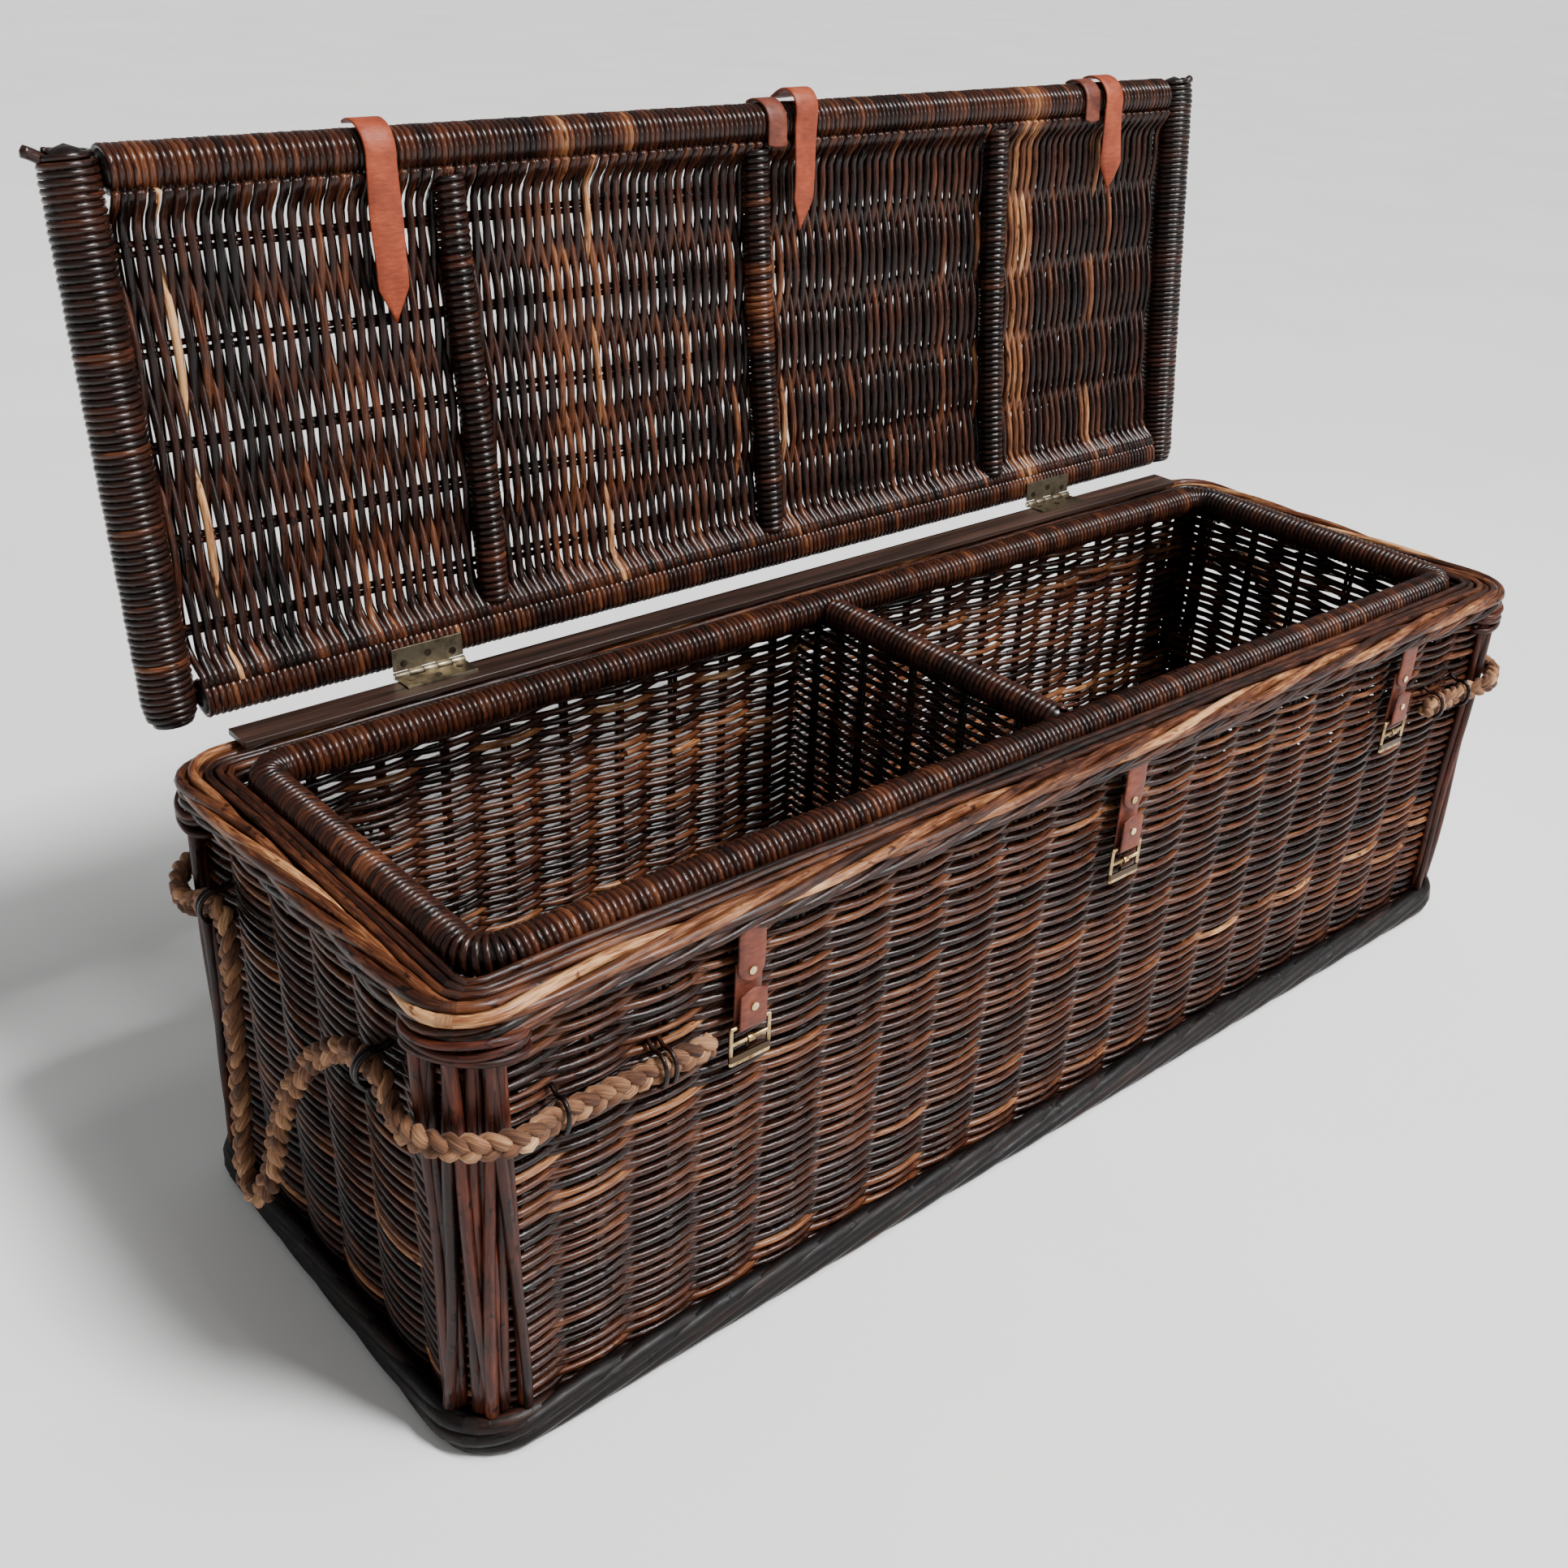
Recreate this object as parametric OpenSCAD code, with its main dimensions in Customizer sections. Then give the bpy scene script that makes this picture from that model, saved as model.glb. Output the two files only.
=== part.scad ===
// Wicker storage trunk with a hinged lid, shown open.
// Millimetres. The origin is the centre of the base on the floor, +X runs along the
// length, -Y faces the front and +Z is up.

/* [Trunk] */
// Length over the rim
trunk_length = 1200; // [1150:10:1300]
// Depth over the rim, front to back
trunk_depth = 412; // [390:2:450]
// Height of the woven walls
wall_height = 346; // [336:2:370]
// Thickness of the woven walls
wall_t = 12; // [11:0.5:14]
// Thickness of the woven base
base_t = 12; // [10:1:16]
// Diameter of the upright stakes inside the walls
stake_d = 7; // [5:0.5:7.5]
// Number of stakes in the front wall and in the back wall
long_stakes = 20; // [12:1:24]
// Number of stakes in each end wall
short_stakes = 6; // [4:1:7]

/* [Rim] */
// Diameter of the wrapped inner roll
roll_d = 30; // [26:1:30]
// Diameter of the outer border rods
border_rod_d = 10.6; // [9:0.2:10.6]
// Diameter of the flat border rods
flat_rod_d = 6; // [5:0.2:6]

/* [Lid] */
// Depth of the lid from its hinge edge to its front edge
lid_depth = 405; // [395:1:410]
// Length of the lid
lid_length = 1182; // [1160:2:1190]
// Thickness of the lid over its side rolls
lid_t = 42; // [40:1:44]
// Angle that the open lid leans back past upright
lid_lean = 6.5; // [0:0.5:12]
// Diameter of the wrapped lid ribs
rib_d = 28; // [24:1:28]
// Distance between the lid ribs
rib_pitch = 295; // [260:5:320]

/* [Hinges and leather] */
// Length of each butt hinge
hinge_length = 63; // [60:1:66]
// Distance of each hinge from the middle of the trunk
hinge_x = 368; // [330:2:400]
// Width of the leather straps
strap_w = 25; // [22:1:26]
// Length of the left strap's straight tail, the longest of the three
tail_length = 118; // [100:2:130]
// Distance between neighbouring buckles
buckle_pitch = 390; // [360:5:400]

/* [Rope] */
// Diameter of the plaited rope
rope_d = 20; // [18:0.5:20]

/* [Hidden] */
$fn = 48;
gap = 0.3;
half_x = trunk_length / 2;
half_y = trunk_depth / 2;

// Plan of the walls: their outer face stands inside the rim, with rounded corners.
wall_inset = 14;
wall_x = half_x - wall_inset;
wall_y = half_y - wall_inset;
wall_r = 34;
corner_x = wall_x - wall_r;
corner_y = wall_y - wall_r;
mitre_x = corner_x + 60;
mitre_y = corner_y + 60;
inner_x = wall_x - wall_t;
inner_y = wall_y - wall_t;

// Foot border round the base.
foot_h = 16;
foot_rod_d = 17;
foot_w = 18;
foot_r = wall_r + gap + foot_w;
foot_x = wall_x + gap + foot_w;
foot_y = wall_y + gap + foot_w;

// Corner sticks and the collars round them.
stick_d = 9;
stick_count = 7;
stick_r = wall_r + gap + stick_d / 2;
collar_d = 4.8;
collar_r = stick_r + stick_d / 2 + gap + collar_d / 2;
collar_z = [wall_height - 12, wall_height - 6.4];

// Rim rods, each named by how far its centre lies inside the rim's outer face.
rim_z = wall_height + 18;
border_inset = border_rod_d / 2 + 0.3;
border_inset_2 = border_inset + border_rod_d + gap;
flat_inset = 25.2;
flat_step = 6.3;
rim_r = 48;
roll_inset = 56;
roll_r = 22;
roll_z = rim_z - 1;
wale_z = rim_z - border_rod_d - gap;

// Divider across the middle.
divider_t = 10;
divider_stake_d = 6;
divider_stake_count = 6;
divider_roll_d = 28;
divider_top = roll_z - roll_d / 2 - 0.5;

// Batten that carries the hinges.
batten_h = 5;
batten_half = 540;
batten_front = half_y - 28;
batten_back = half_y + 0.5;
batten_z = rim_z + border_rod_d / 2 + gap;
batten_top = batten_z + batten_h;

// Hinges: the pin lies midway between the two closed leaves.
leaf_t = 1.6;
leaf_gap = 1.0;
leaf_w = 19;
knuckle_r = 3;
pin_r = 1.5;
pin_fit = 0.05;
knuckles = 5;
pin_y = half_y + 5;
pin_z = batten_top + leaf_t + leaf_gap / 2;
screw_r = 1.7;
screw_head_r = 3;
screw_fit = 0.1;
screw_len = 8;
screw_pitch = 22;
screw_near = 9;
screw_far = 13;

// Lid parts in the closed lid's own frame: u runs from the pin to the front, w up.
lid_face = leaf_t + leaf_gap / 2;
lid_half = lid_length / 2;
side_roll_r = lid_t / 2;
side_roll_x = lid_half - side_roll_r;
edge_half = side_roll_x - side_roll_r - gap;
front_roll_r = 18;
front_u = lid_depth - front_roll_r;
back_roll_r = 16;
back_u = 17.5;
back_w = 14;
panel_w0 = 20;
panel_w1 = 32;
panel_u0 = back_u + back_roll_r + gap;
panel_u1 = front_u - front_roll_r - gap;
lid_stake_d = 6;
lid_rows = 5;

// Straps: an arc round the open lid's front roll, with a straight tail. Their y and z are
// the centre of that roll.
strap_t = 2.6;
strap_r = front_roll_r + 3;
arc_from = 60;
arc_to = 180;
strap_x = [-357, 45, 450];
strap_y = pin_y + front_u * sin(lid_lean) + (side_roll_r + lid_face) * cos(lid_lean);
strap_z = pin_z + front_u * cos(lid_lean) - (side_roll_r + lid_face) * sin(lid_lean);
tails = [tail_length, tail_length - 32, tail_length - 36];
anchor_x = [15, 421];
anchor_w = 20;
anchor_len = 17;

// Buckles.
buckle_x = [-buckle_pitch + 20, 20, buckle_pitch + 20];
tab_w = 23;
tab_t = 2.4;
tab_y = -wall_y - 10;
tab_top = wale_z - border_rod_d / 2 - gap;
tab_end = wall_height - 38;
frame_w = 36;
wire_r = 1.6;
frame_y = tab_y - 1;
frame_z = wall_height - 72;
fold_r = wire_r + 0.1;
centre_drop = 13;
frame_drop = 29;
plate_h = 8;
plate_t = 1.4;
prong_r = 1.1;
prong_l = 17;
rivet_r = 3;
rivet_stem = 1.5;
rivet_z = [wall_height - 30, wall_height - 57];
ply_t = 2;
back_ply_top = wall_height - 24;
front_ply_top = wall_height - 46;

// Ties round the rope.
tie_w = 3.2;
tie_t = 2.4;
tie_gap = 0.4;

// Rope routes on the left end. The right end is their mirror image.
front_route = [
    [-403, -204, 271], [-430, -204, 271], [-460, -204, 271], [-490, -204, 271], [-515, -204, 271],
    [-526, -204, 271], [-540, -209, 273], [-554, -213, 275], [-574, -208, 276], [-591, -196, 276],
    [-603, -178, 275], [-606, -160, 274], [-605, -144, 278], [-602, -131, 286], [-601, -122, 290],
    [-601, -115, 290]
];
handle_route = [
    [-601, -114, 290], [-601, -107, 290], [-601, -95, 288], [-603, -76, 281], [-607, -54, 265],
    [-612, -35, 243], [-617, -20, 217], [-622, -11, 190], [-627, -7, 163], [-632, -4, 139],
    [-636, 5, 121], [-638, 18, 115], [-636, 31, 122], [-632, 39, 141], [-627, 46, 166],
    [-622, 55, 193], [-617, 65, 220], [-611, 76, 247], [-605, 87, 271], [-602, 98, 285],
    [-601, 107, 290], [-601, 114, 290]
];

// ---- shared shapes ----

// A rectangle with round corners, given by its half sizes and its corner radius.
module rounded_plan(hx, hy, r) {
    square([2 * hx, 2 * (hy - r)], center = true);
    square([2 * (hx - r), 2 * hy], center = true);
    for (sx = [-1, 1], sy = [-1, 1])
        translate([sx * (hx - r), sy * (hy - r)]) circle(r = r);
}

module ring_plan(hx, hy, r, width) {
    difference() {
        rounded_plan(hx, hy, r);
        rounded_plan(hx - width, hy - width, max(r - width, 2));
    }
}

// A rod of radius rod_r bent into a rounded rectangle at height z.
module rod_ring(hx, hy, bend, z, rod_r) {
    translate([0, 0, z]) {
        for (s = [-1, 1]) {
            translate([-(hx - bend), s * hy, 0])
                rotate([0, 90, 0]) cylinder(r = rod_r, h = 2 * (hx - bend));
            translate([s * hx, -(hy - bend), 0])
                rotate([-90, 0, 0]) cylinder(r = rod_r, h = 2 * (hy - bend));
        }
        for (q = [0:3])
            translate([(q == 0 || q == 3 ? 1 : -1) * (hx - bend), (q < 2 ? 1 : -1) * (hy - bend), 0])
                rotate(90 * q) rotate_extrude(angle = 90) translate([bend, 0]) circle(r = rod_r);
    }
}

module rim_rod(inset, z, rod_r) {
    rod_ring(half_x - inset, half_y - inset, rim_r - inset, z, rod_r);
}

// Places its children, drawn in the closed lid's frame with the pin at the origin,
// front towards -Y and up +Z, on the open lid.
module on_lid() {
    translate([0, pin_y, pin_z]) rotate([-(90 + lid_lean), 0, 0]) children();
}

// A point of the lid by its u and w.
module at_uw(u, w) {
    translate([0, -u, w + lid_face]) children();
}

// Smoothly swept tube through the points, with round ends left flat.
function unit(v) = v / norm(v);
function direction(p, i) = unit(p[min(i + 1, len(p) - 1)] - p[max(i - 1, 0)]);
function side_of(t) = unit(cross(t, abs(t[2]) < 0.95 ? [0, 0, 1] : [0, 1, 0]));
function carried(s, t) = unit(s - (s * t) * t);
function sides(p, i = 0, s = undef) =
    let (t = direction(p, i), own = i == 0 ? side_of(t) : carried(s, t))
    i == len(p) - 1 ? [own] : concat([own], sides(p, i + 1, own));

module tube(p, r, n = 10) {
    side = sides(p);
    points = [
        for (i = [0:len(p) - 1])
            let (up = cross(direction(p, i), side[i]))
            for (k = [0:n - 1]) p[i] + r * (cos(360 * k / n) * side[i] + sin(360 * k / n) * up)
    ];
    last = (len(p) - 1) * n;
    faces = concat(
        [[for (k = [0:n - 1]) k]],
        [[for (k = [n - 1:-1:0]) last + k]],
        [for (i = [0:len(p) - 2], k = [0:n - 1])
            [i * n + k, (i + 1) * n + k, (i + 1) * n + (k + 1) % n, i * n + (k + 1) % n]]
    );
    polyhedron(points, faces, convexity = 6);
}

function flipped(p) = [for (v = p) [v[0], -v[1], v[2]]];

// ---- trunk body ----

module base_panel() {
    color([0.20, 0.12, 0.08])
        linear_extrude(base_t) rounded_plan(inner_x - gap, inner_y - gap, wall_r - wall_t);
}

module foot_border() {
    color([0.07, 0.05, 0.04]) {
        linear_extrude(foot_h) ring_plan(foot_x, foot_y, foot_r, foot_w);
        rod_ring(foot_x - foot_rod_d / 2 - 0.4, foot_y - foot_rod_d / 2 - 0.4, foot_r - foot_w / 2,
            foot_h + foot_rod_d / 2 + 0.2, foot_rod_d / 2);
    }
}

// The part of the woven shell inside one wedge of the plan, so that the four walls
// meet at 45 degree mitres through the corner centres.
module wall_sector(points) {
    linear_extrude(wall_height)
        intersection() {
            ring_plan(wall_x, wall_y, wall_r, wall_t);
            polygon(points);
        }
}

module long_wall(side) {
    difference() {
        wall_sector([
            [-corner_x + 0.2, side * corner_y], [-mitre_x + 0.2, side * mitre_y],
            [mitre_x - 0.2, side * mitre_y], [corner_x - 0.2, side * corner_y]
        ]);
        long_wall_stakes(side, stake_d / 2 + 0.1, wall_height + 2, -1);
    }
}

module short_wall(side) {
    difference() {
        wall_sector([
            [side * corner_x, -corner_y + 0.2], [side * mitre_x, -mitre_y + 0.2],
            [side * mitre_x, mitre_y - 0.2], [side * corner_x, corner_y - 0.2]
        ]);
        short_wall_stakes(side, stake_d / 2 + 0.1, wall_height + 2, -1);
    }
}

module long_wall_stakes(side, r, h, z) {
    span = 2 * corner_x - 12;
    for (i = [0:long_stakes - 1])
        translate([-span / 2 + i * span / (long_stakes - 1), side * (wall_y - wall_t / 2), z])
            cylinder(r = r, h = h);
}

module short_wall_stakes(side, r, h, z) {
    span = 2 * corner_y - 12;
    for (i = [0:short_stakes - 1])
        translate([side * (wall_x - wall_t / 2), -span / 2 + i * span / (short_stakes - 1), z])
            cylinder(r = r, h = h);
}

module front_wall() {
    color([0.22, 0.13, 0.09]) long_wall(-1);
}

module back_wall() {
    color([0.22, 0.13, 0.09]) long_wall(1);
}

module left_wall() {
    color([0.20, 0.12, 0.08]) short_wall(-1);
}

module right_wall() {
    color([0.20, 0.12, 0.08]) short_wall(1);
}

module front_wall_stakes() {
    color([0.14, 0.09, 0.07]) long_wall_stakes(-1, stake_d / 2, wall_height, 0);
}

module back_wall_stakes() {
    color([0.14, 0.09, 0.07]) long_wall_stakes(1, stake_d / 2, wall_height, 0);
}

module left_wall_stakes() {
    color([0.14, 0.09, 0.07]) short_wall_stakes(-1, stake_d / 2, wall_height, 0);
}

module right_wall_stakes() {
    color([0.14, 0.09, 0.07]) short_wall_stakes(1, stake_d / 2, wall_height, 0);
}

// Upright sticks on a quarter circle round one corner.
module corner_sticks(sx, sy) {
    foot_top = foot_h + foot_rod_d + 0.6;
    color([0.33, 0.17, 0.11])
        for (i = [0:stick_count - 1]) {
            a = 90 * i / (stick_count - 1);
            translate([sx * (corner_x + stick_r * cos(a)), sy * (corner_y + stick_r * sin(a)), foot_top])
                cylinder(d = stick_d, h = wall_height - foot_top + 0.8);
        }
}

module corner_collars() {
    color([0.30, 0.17, 0.12])
        for (q = [0:3], z = collar_z)
            translate([(q == 0 || q == 3 ? 1 : -1) * corner_x, (q < 2 ? 1 : -1) * corner_y, z])
                rotate(90 * q) rotate_extrude(angle = 90) translate([collar_r, 0]) circle(d = collar_d);
}

// ---- rim ----

module rim_outer_border() {
    color([0.48, 0.30, 0.19]) {
        rim_rod(border_inset, rim_z, border_rod_d / 2);
        rim_rod(border_inset_2, rim_z, border_rod_d / 2);
        rim_rod(border_inset, wale_z, border_rod_d / 2);
    }
}

module rim_flat_border() {
    color([0.22, 0.12, 0.09])
        for (i = [0:2])
            rim_rod(flat_inset + i * flat_step, rim_z, flat_rod_d / 2);
}

module rim_roll() {
    color([0.30, 0.17, 0.11])
        rod_ring(half_x - roll_inset, half_y - roll_inset, roll_r, roll_z, roll_d / 2);
}

// ---- divider ----

module divider_bars(r, z, h) {
    span = 2 * inner_y - 50;
    for (i = [0:divider_stake_count - 1])
        translate([0, -span / 2 + i * span / (divider_stake_count - 1), z]) cylinder(r = r, h = h);
}

module divider_panel() {
    color([0.18, 0.11, 0.08])
        difference() {
            translate([-divider_t / 2, -inner_y + gap, base_t + gap])
                cube([divider_t, 2 * (inner_y - gap), divider_top - base_t - gap]);
            divider_bars(divider_stake_d / 2 + 0.1, 0, wall_height + 10);
        }
}

module divider_stakes() {
    color([0.14, 0.09, 0.07])
        divider_bars(divider_stake_d / 2, base_t + gap, divider_top - base_t - gap);
}

module divider_roll() {
    reach = half_y - roll_inset - roll_d / 2 - gap;
    color([0.24, 0.13, 0.09])
        translate([0, -reach, roll_z]) rotate([-90, 0, 0]) cylinder(d = divider_roll_d, h = 2 * reach);
}

// ---- hinges ----

// The three holes of a leaf, the middle one further from the pin.
module leaf_holes(r, z, h) {
    for (i = [-1:1])
        translate([i * screw_pitch, -(i == 0 ? screw_far : screw_near), z]) cylinder(r = r, h = h);
}

// One leaf with its share of the knuckles, drawn for the lower leaf: it lies below the
// pin and runs towards -Y. The pin is at the origin.
module leaf(first) {
    knuckle_l = hinge_length / knuckles;
    difference() {
        union() {
            translate([-hinge_length / 2, -leaf_w - knuckle_r, -leaf_gap / 2 - leaf_t])
                cube([hinge_length, leaf_w - 0.6, leaf_t]);
            for (i = [first:2:knuckles - 1])
                translate([-hinge_length / 2 + i * knuckle_l + 0.15, 0, 0]) {
                    rotate([0, 90, 0]) cylinder(r = knuckle_r, h = knuckle_l - 0.3);
                    translate([0, -knuckle_r - 1.2, -leaf_gap / 2 - leaf_t])
                        cube([knuckle_l - 0.3, knuckle_r + 1.2, leaf_t]);
                }
        }
        rotate([0, 90, 0]) cylinder(r = pin_r + pin_fit, h = 2 * hinge_length, center = true);
        leaf_holes(screw_r + screw_fit, -leaf_gap / 2 - leaf_t - 1, leaf_t + 2);
    }
}

module hinge_lower_leaf(side) {
    color([0.55, 0.48, 0.36]) translate([side * hinge_x, pin_y, pin_z]) leaf(0);
}

module hinge_upper_leaf(side) {
    color([0.50, 0.43, 0.33])
        translate([side * hinge_x, 0, 0]) on_lid() mirror([0, 0, 1]) leaf(1);
}

module hinge_pin(side) {
    color([0.75, 0.72, 0.62])
        translate([side * hinge_x, pin_y, pin_z])
            rotate([0, 90, 0]) cylinder(r = pin_r, h = hinge_length + 1, center = true);
}

// A screw through the leaf and on into the batten, with a low round head.
module leaf_screws() {
    leaf_holes(screw_r, -leaf_gap / 2 - leaf_t - screw_len, screw_len + leaf_t);
    leaf_holes(screw_head_r, -leaf_gap / 2, 0.35);
}

// The pilot holes for those screws.
module pilot_holes() {
    leaf_holes(screw_r + screw_fit, -leaf_gap / 2 - leaf_t - screw_len - 0.1, screw_len + 0.2);
}

module hinge_batten() {
    color([0.10, 0.07, 0.06])
        difference() {
            translate([-batten_half, batten_front, batten_z])
                cube([2 * batten_half, batten_back - batten_front, batten_h]);
            for (side = [-1, 1])
                translate([side * hinge_x, pin_y, pin_z]) pilot_holes();
        }
}

module batten_screws() {
    color([0.20, 0.16, 0.12])
        for (side = [-1, 1])
            translate([side * hinge_x, pin_y, pin_z]) short_screws();
}

// Screws that end inside the batten.
module short_screws() {
    leaf_holes(screw_r, -leaf_gap / 2 - leaf_t - batten_h + 0.4, batten_h + leaf_t - 0.4);
    leaf_holes(screw_head_r, -leaf_gap / 2, 0.35);
}

module lid_screws() {
    color([0.20, 0.16, 0.12])
        for (side = [-1, 1])
            translate([side * hinge_x, 0, 0]) on_lid() mirror([0, 0, 1]) leaf_screws();
}

// ---- rope ----

// The right rope's front end stops short of the right buckle.
module rope_run(side) {
    skipped = side > 0 ? 2 : 0;
    color([0.50, 0.35, 0.22])
        mirror([side > 0 ? 1 : 0, 0, 0]) {
            tube([for (i = [skipped:len(front_route) - 1]) front_route[i]], rope_d / 2);
            tube(flipped(front_route), rope_d / 2);
        }
}

module rope_handle(side) {
    color([0.52, 0.37, 0.24])
        mirror([side > 0 ? 1 : 0, 0, 0]) tube(handle_route, rope_d / 2);
}

// A tie of split willow: most of a flat ring round the rope, open towards the wall. The
// handle loop turns in the ties at its two ends.
module tie(p, heading) {
    translate(p) rotate(heading) rotate([90, 0, 0]) rotate(-110)
        rotate_extrude(angle = 220)
            translate([rope_d / 2 + tie_gap, -tie_w / 2]) square([tie_t, tie_w]);
}

module rope_ties() {
    color([0.16, 0.10, 0.08])
        for (flip_x = [0, 1], flip_y = [0, 1])
            mirror([flip_x, 0, 0]) mirror([0, flip_y, 0]) {
                for (x = flip_x == 1 && flip_y == 0 ? [-475, -522] : [-440, -447, -522])
                    tie([x, -204, 271], -90);
                tie([-601, -114.5, 290], 180);
            }
}

// ---- buckles on the front ----

module rivet_holes() {
    for (z = rivet_z)
        translate([0, tab_y, z])
            rotate([90, 0, 0]) cylinder(r = rivet_stem + 0.1, h = 30, center = true);
}

// A tab with a round end that comes out from under the rim.
module rim_tab(i) {
    round_z = tab_end + tab_w / 2;
    color([0.45, 0.22, 0.16])
        translate([buckle_x[i], 0, 0])
            difference() {
                translate([0, tab_y + tab_t / 2, 0]) rotate([90, 0, 0])
                    linear_extrude(tab_t) {
                        translate([-tab_w / 2, round_z]) square([tab_w, tab_top - round_z]);
                        translate([0, round_z]) circle(d = tab_w);
                    }
                rivet_holes();
            }
}

// A folded piece: its back ply is riveted behind the rim tab, it turns round the top
// bar of the frame, and its front ply is riveted to the back ply.
module buckle_loop(i) {
    back_y = tab_y + tab_t / 2 + gap;
    front_y = frame_y - fold_r - ply_t;
    color([0.50, 0.25, 0.17])
        translate([buckle_x[i], 0, 0])
            difference() {
                union() {
                    translate([-tab_w / 2, back_y, frame_z])
                        cube([tab_w, tab_t, back_ply_top - frame_z]);
                    translate([-tab_w / 2, front_y, frame_z])
                        cube([tab_w, ply_t, front_ply_top - frame_z]);
                    translate([0, frame_y, frame_z]) rotate([0, 90, 0])
                        cylinder(r = fold_r + ply_t, h = tab_w, center = true);
                }
                translate([0, frame_y, frame_z]) rotate([0, 90, 0])
                    cylinder(r = fold_r, h = tab_w + 2, center = true);
                rivet_holes();
            }
}

// A rivet is a stem with a flat head in front. Y is given for the head's back face.
module rivet(z, head_y) {
    back_y = tab_y + tab_t * 1.5 + gap;
    translate([0, head_y, z]) rotate([90, 0, 0]) cylinder(r = rivet_r, h = 1);
    translate([0, back_y, z]) rotate([90, 0, 0]) cylinder(r = rivet_stem, h = back_y - head_y + 0.2);
}

module tab_rivets() {
    color([0.80, 0.68, 0.45])
        for (x = buckle_x)
            translate([x, 0, 0]) {
                rivet(rivet_z[0], tab_y - tab_t / 2 - 0.05);
                rivet(rivet_z[1], frame_y - fold_r - ply_t - 0.05);
            }
}

// The frame hangs from its top bar at the origin. Its bottom bar carries a flat plate.
module frame_wires() {
    side_x = frame_w / 2 - wire_r;
    for (z = [0, -centre_drop, -frame_drop])
        translate([-side_x, 0, z]) rotate([0, 90, 0]) cylinder(r = wire_r, h = 2 * side_x);
    for (s = [-1, 1], z = [0, -frame_drop])
        translate([s * side_x, 0, z]) sphere(r = wire_r);
    for (s = [-1, 1])
        translate([s * side_x, 0, -frame_drop]) cylinder(r = wire_r, h = frame_drop);
    translate([-side_x, -wire_r, -frame_drop - 1]) cube([2 * side_x, plate_t, plate_h]);
}

module buckle_frame(i) {
    color([0.72, 0.60, 0.38])
        translate([buckle_x[i], frame_y, frame_z]) frame_wires();
}

// The prong turns on the centre bar and hangs behind the bottom bar.
module buckle_prong(i) {
    ring_r = wire_r + 0.08;
    color([0.75, 0.64, 0.42])
        translate([buckle_x[i], frame_y, frame_z - centre_drop])
            difference() {
                union() {
                    rotate([0, 90, 0]) cylinder(r = ring_r + 1.2, h = 5, center = true);
                    translate([0, wire_r + prong_r + gap, -prong_l]) cylinder(r = prong_r, h = prong_l);
                }
                rotate([0, 90, 0]) cylinder(r = ring_r, h = 8, center = true);
            }
}

// ---- lid ----

module lid_rows_of(r, extra) {
    rows_pitch = (panel_u1 - panel_u0) / lid_rows;
    for (i = [0:lid_rows - 1])
        at_uw(panel_u0 + (i + 0.5) * rows_pitch, (panel_w0 + panel_w1) / 2)
            rotate([0, 90, 0]) cylinder(r = r, h = 2 * edge_half + extra, center = true);
}

module lid_panel() {
    color([0.20, 0.12, 0.09])
        on_lid()
            difference() {
                at_uw(0, 0) translate([-edge_half, -panel_u1, panel_w0])
                    cube([2 * edge_half, panel_u1 - panel_u0, panel_w1 - panel_w0]);
                lid_rows_of(lid_stake_d / 2 + 0.1, 2);
            }
}

module lid_stakes() {
    color([0.14, 0.09, 0.07]) on_lid() lid_rows_of(lid_stake_d / 2, 0);
}

module lid_front_roll() {
    color([0.24, 0.13, 0.09])
        on_lid() at_uw(front_u, side_roll_r) rotate([0, 90, 0])
            cylinder(r = front_roll_r, h = 2 * edge_half, center = true);
}

module lid_back_roll() {
    color([0.24, 0.13, 0.09])
        on_lid()
            difference() {
                at_uw(back_u, back_w) rotate([0, 90, 0])
                    cylinder(r = back_roll_r, h = 2 * edge_half, center = true);
                at_uw(0, 0) translate([-lid_half, -2 * back_u, -side_roll_r])
                    cube([lid_length, 2 * back_u, side_roll_r]);
                for (side = [-1, 1])
                    translate([side * hinge_x, 0, 0]) mirror([0, 0, 1]) pilot_holes();
            }
}

module lid_side_roll(side) {
    color([0.20, 0.11, 0.08])
        on_lid() translate([side * side_roll_x, -lid_depth, side_roll_r + lid_face])
            rotate([-90, 0, 0]) cylinder(r = side_roll_r, h = lid_depth - 1);
}

module lid_ribs() {
    color([0.26, 0.14, 0.10])
        on_lid()
            for (i = [-1:1])
                intersection() {
                    translate([i * rib_pitch, -panel_u1, rib_d / 2 + lid_face + 1])
                        rotate([-90, 0, 0]) cylinder(d = rib_d, h = panel_u1 - panel_u0);
                    at_uw(0, 0) translate([i * rib_pitch - rib_d, -panel_u1 - 5, 0])
                        cube([2 * rib_d, panel_u1, panel_w0 - gap]);
                }
}

// ---- straps ----

function arc_points(r, a0, a1, steps = 20) =
    [for (i = [0:steps]) let (a = a0 + (a1 - a0) * i / steps) r * [cos(a), sin(a)]];

// A band bent round the front roll from angle a0 to a1, with a tail that leaves it
// straight at a1. Angles run from +Y towards +Z about the roll's centre.
module bent_strap(a0, a1, r, width, tail) {
    along = tail * [-sin(a1), cos(a1)];
    out = [cos(a1), sin(a1)];
    rotate([90, 0, 90]) linear_extrude(width, center = true)
        polygon(concat(
            arc_points(r + strap_t, a0, a1),
            [(r + strap_t) * out + along, r * out + along],
            arc_points(r, a1, a0)
        ));
}

// The wedges that cut the end of a hanging tail to a point.
module tip_cuts(r, width, tail) {
    tip = 24;
    for (s = [-1, 1])
        translate([0, 1 - r, 0]) rotate([90, 0, 0]) linear_extrude(strap_t + 2)
            polygon([
                [s * width / 2, tip - tail], [0, -tail], [0, -tail - 2],
                [s * (width / 2 + 2), -tail - 2], [s * (width / 2 + 2), tip - tail]
            ]);
}

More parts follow.
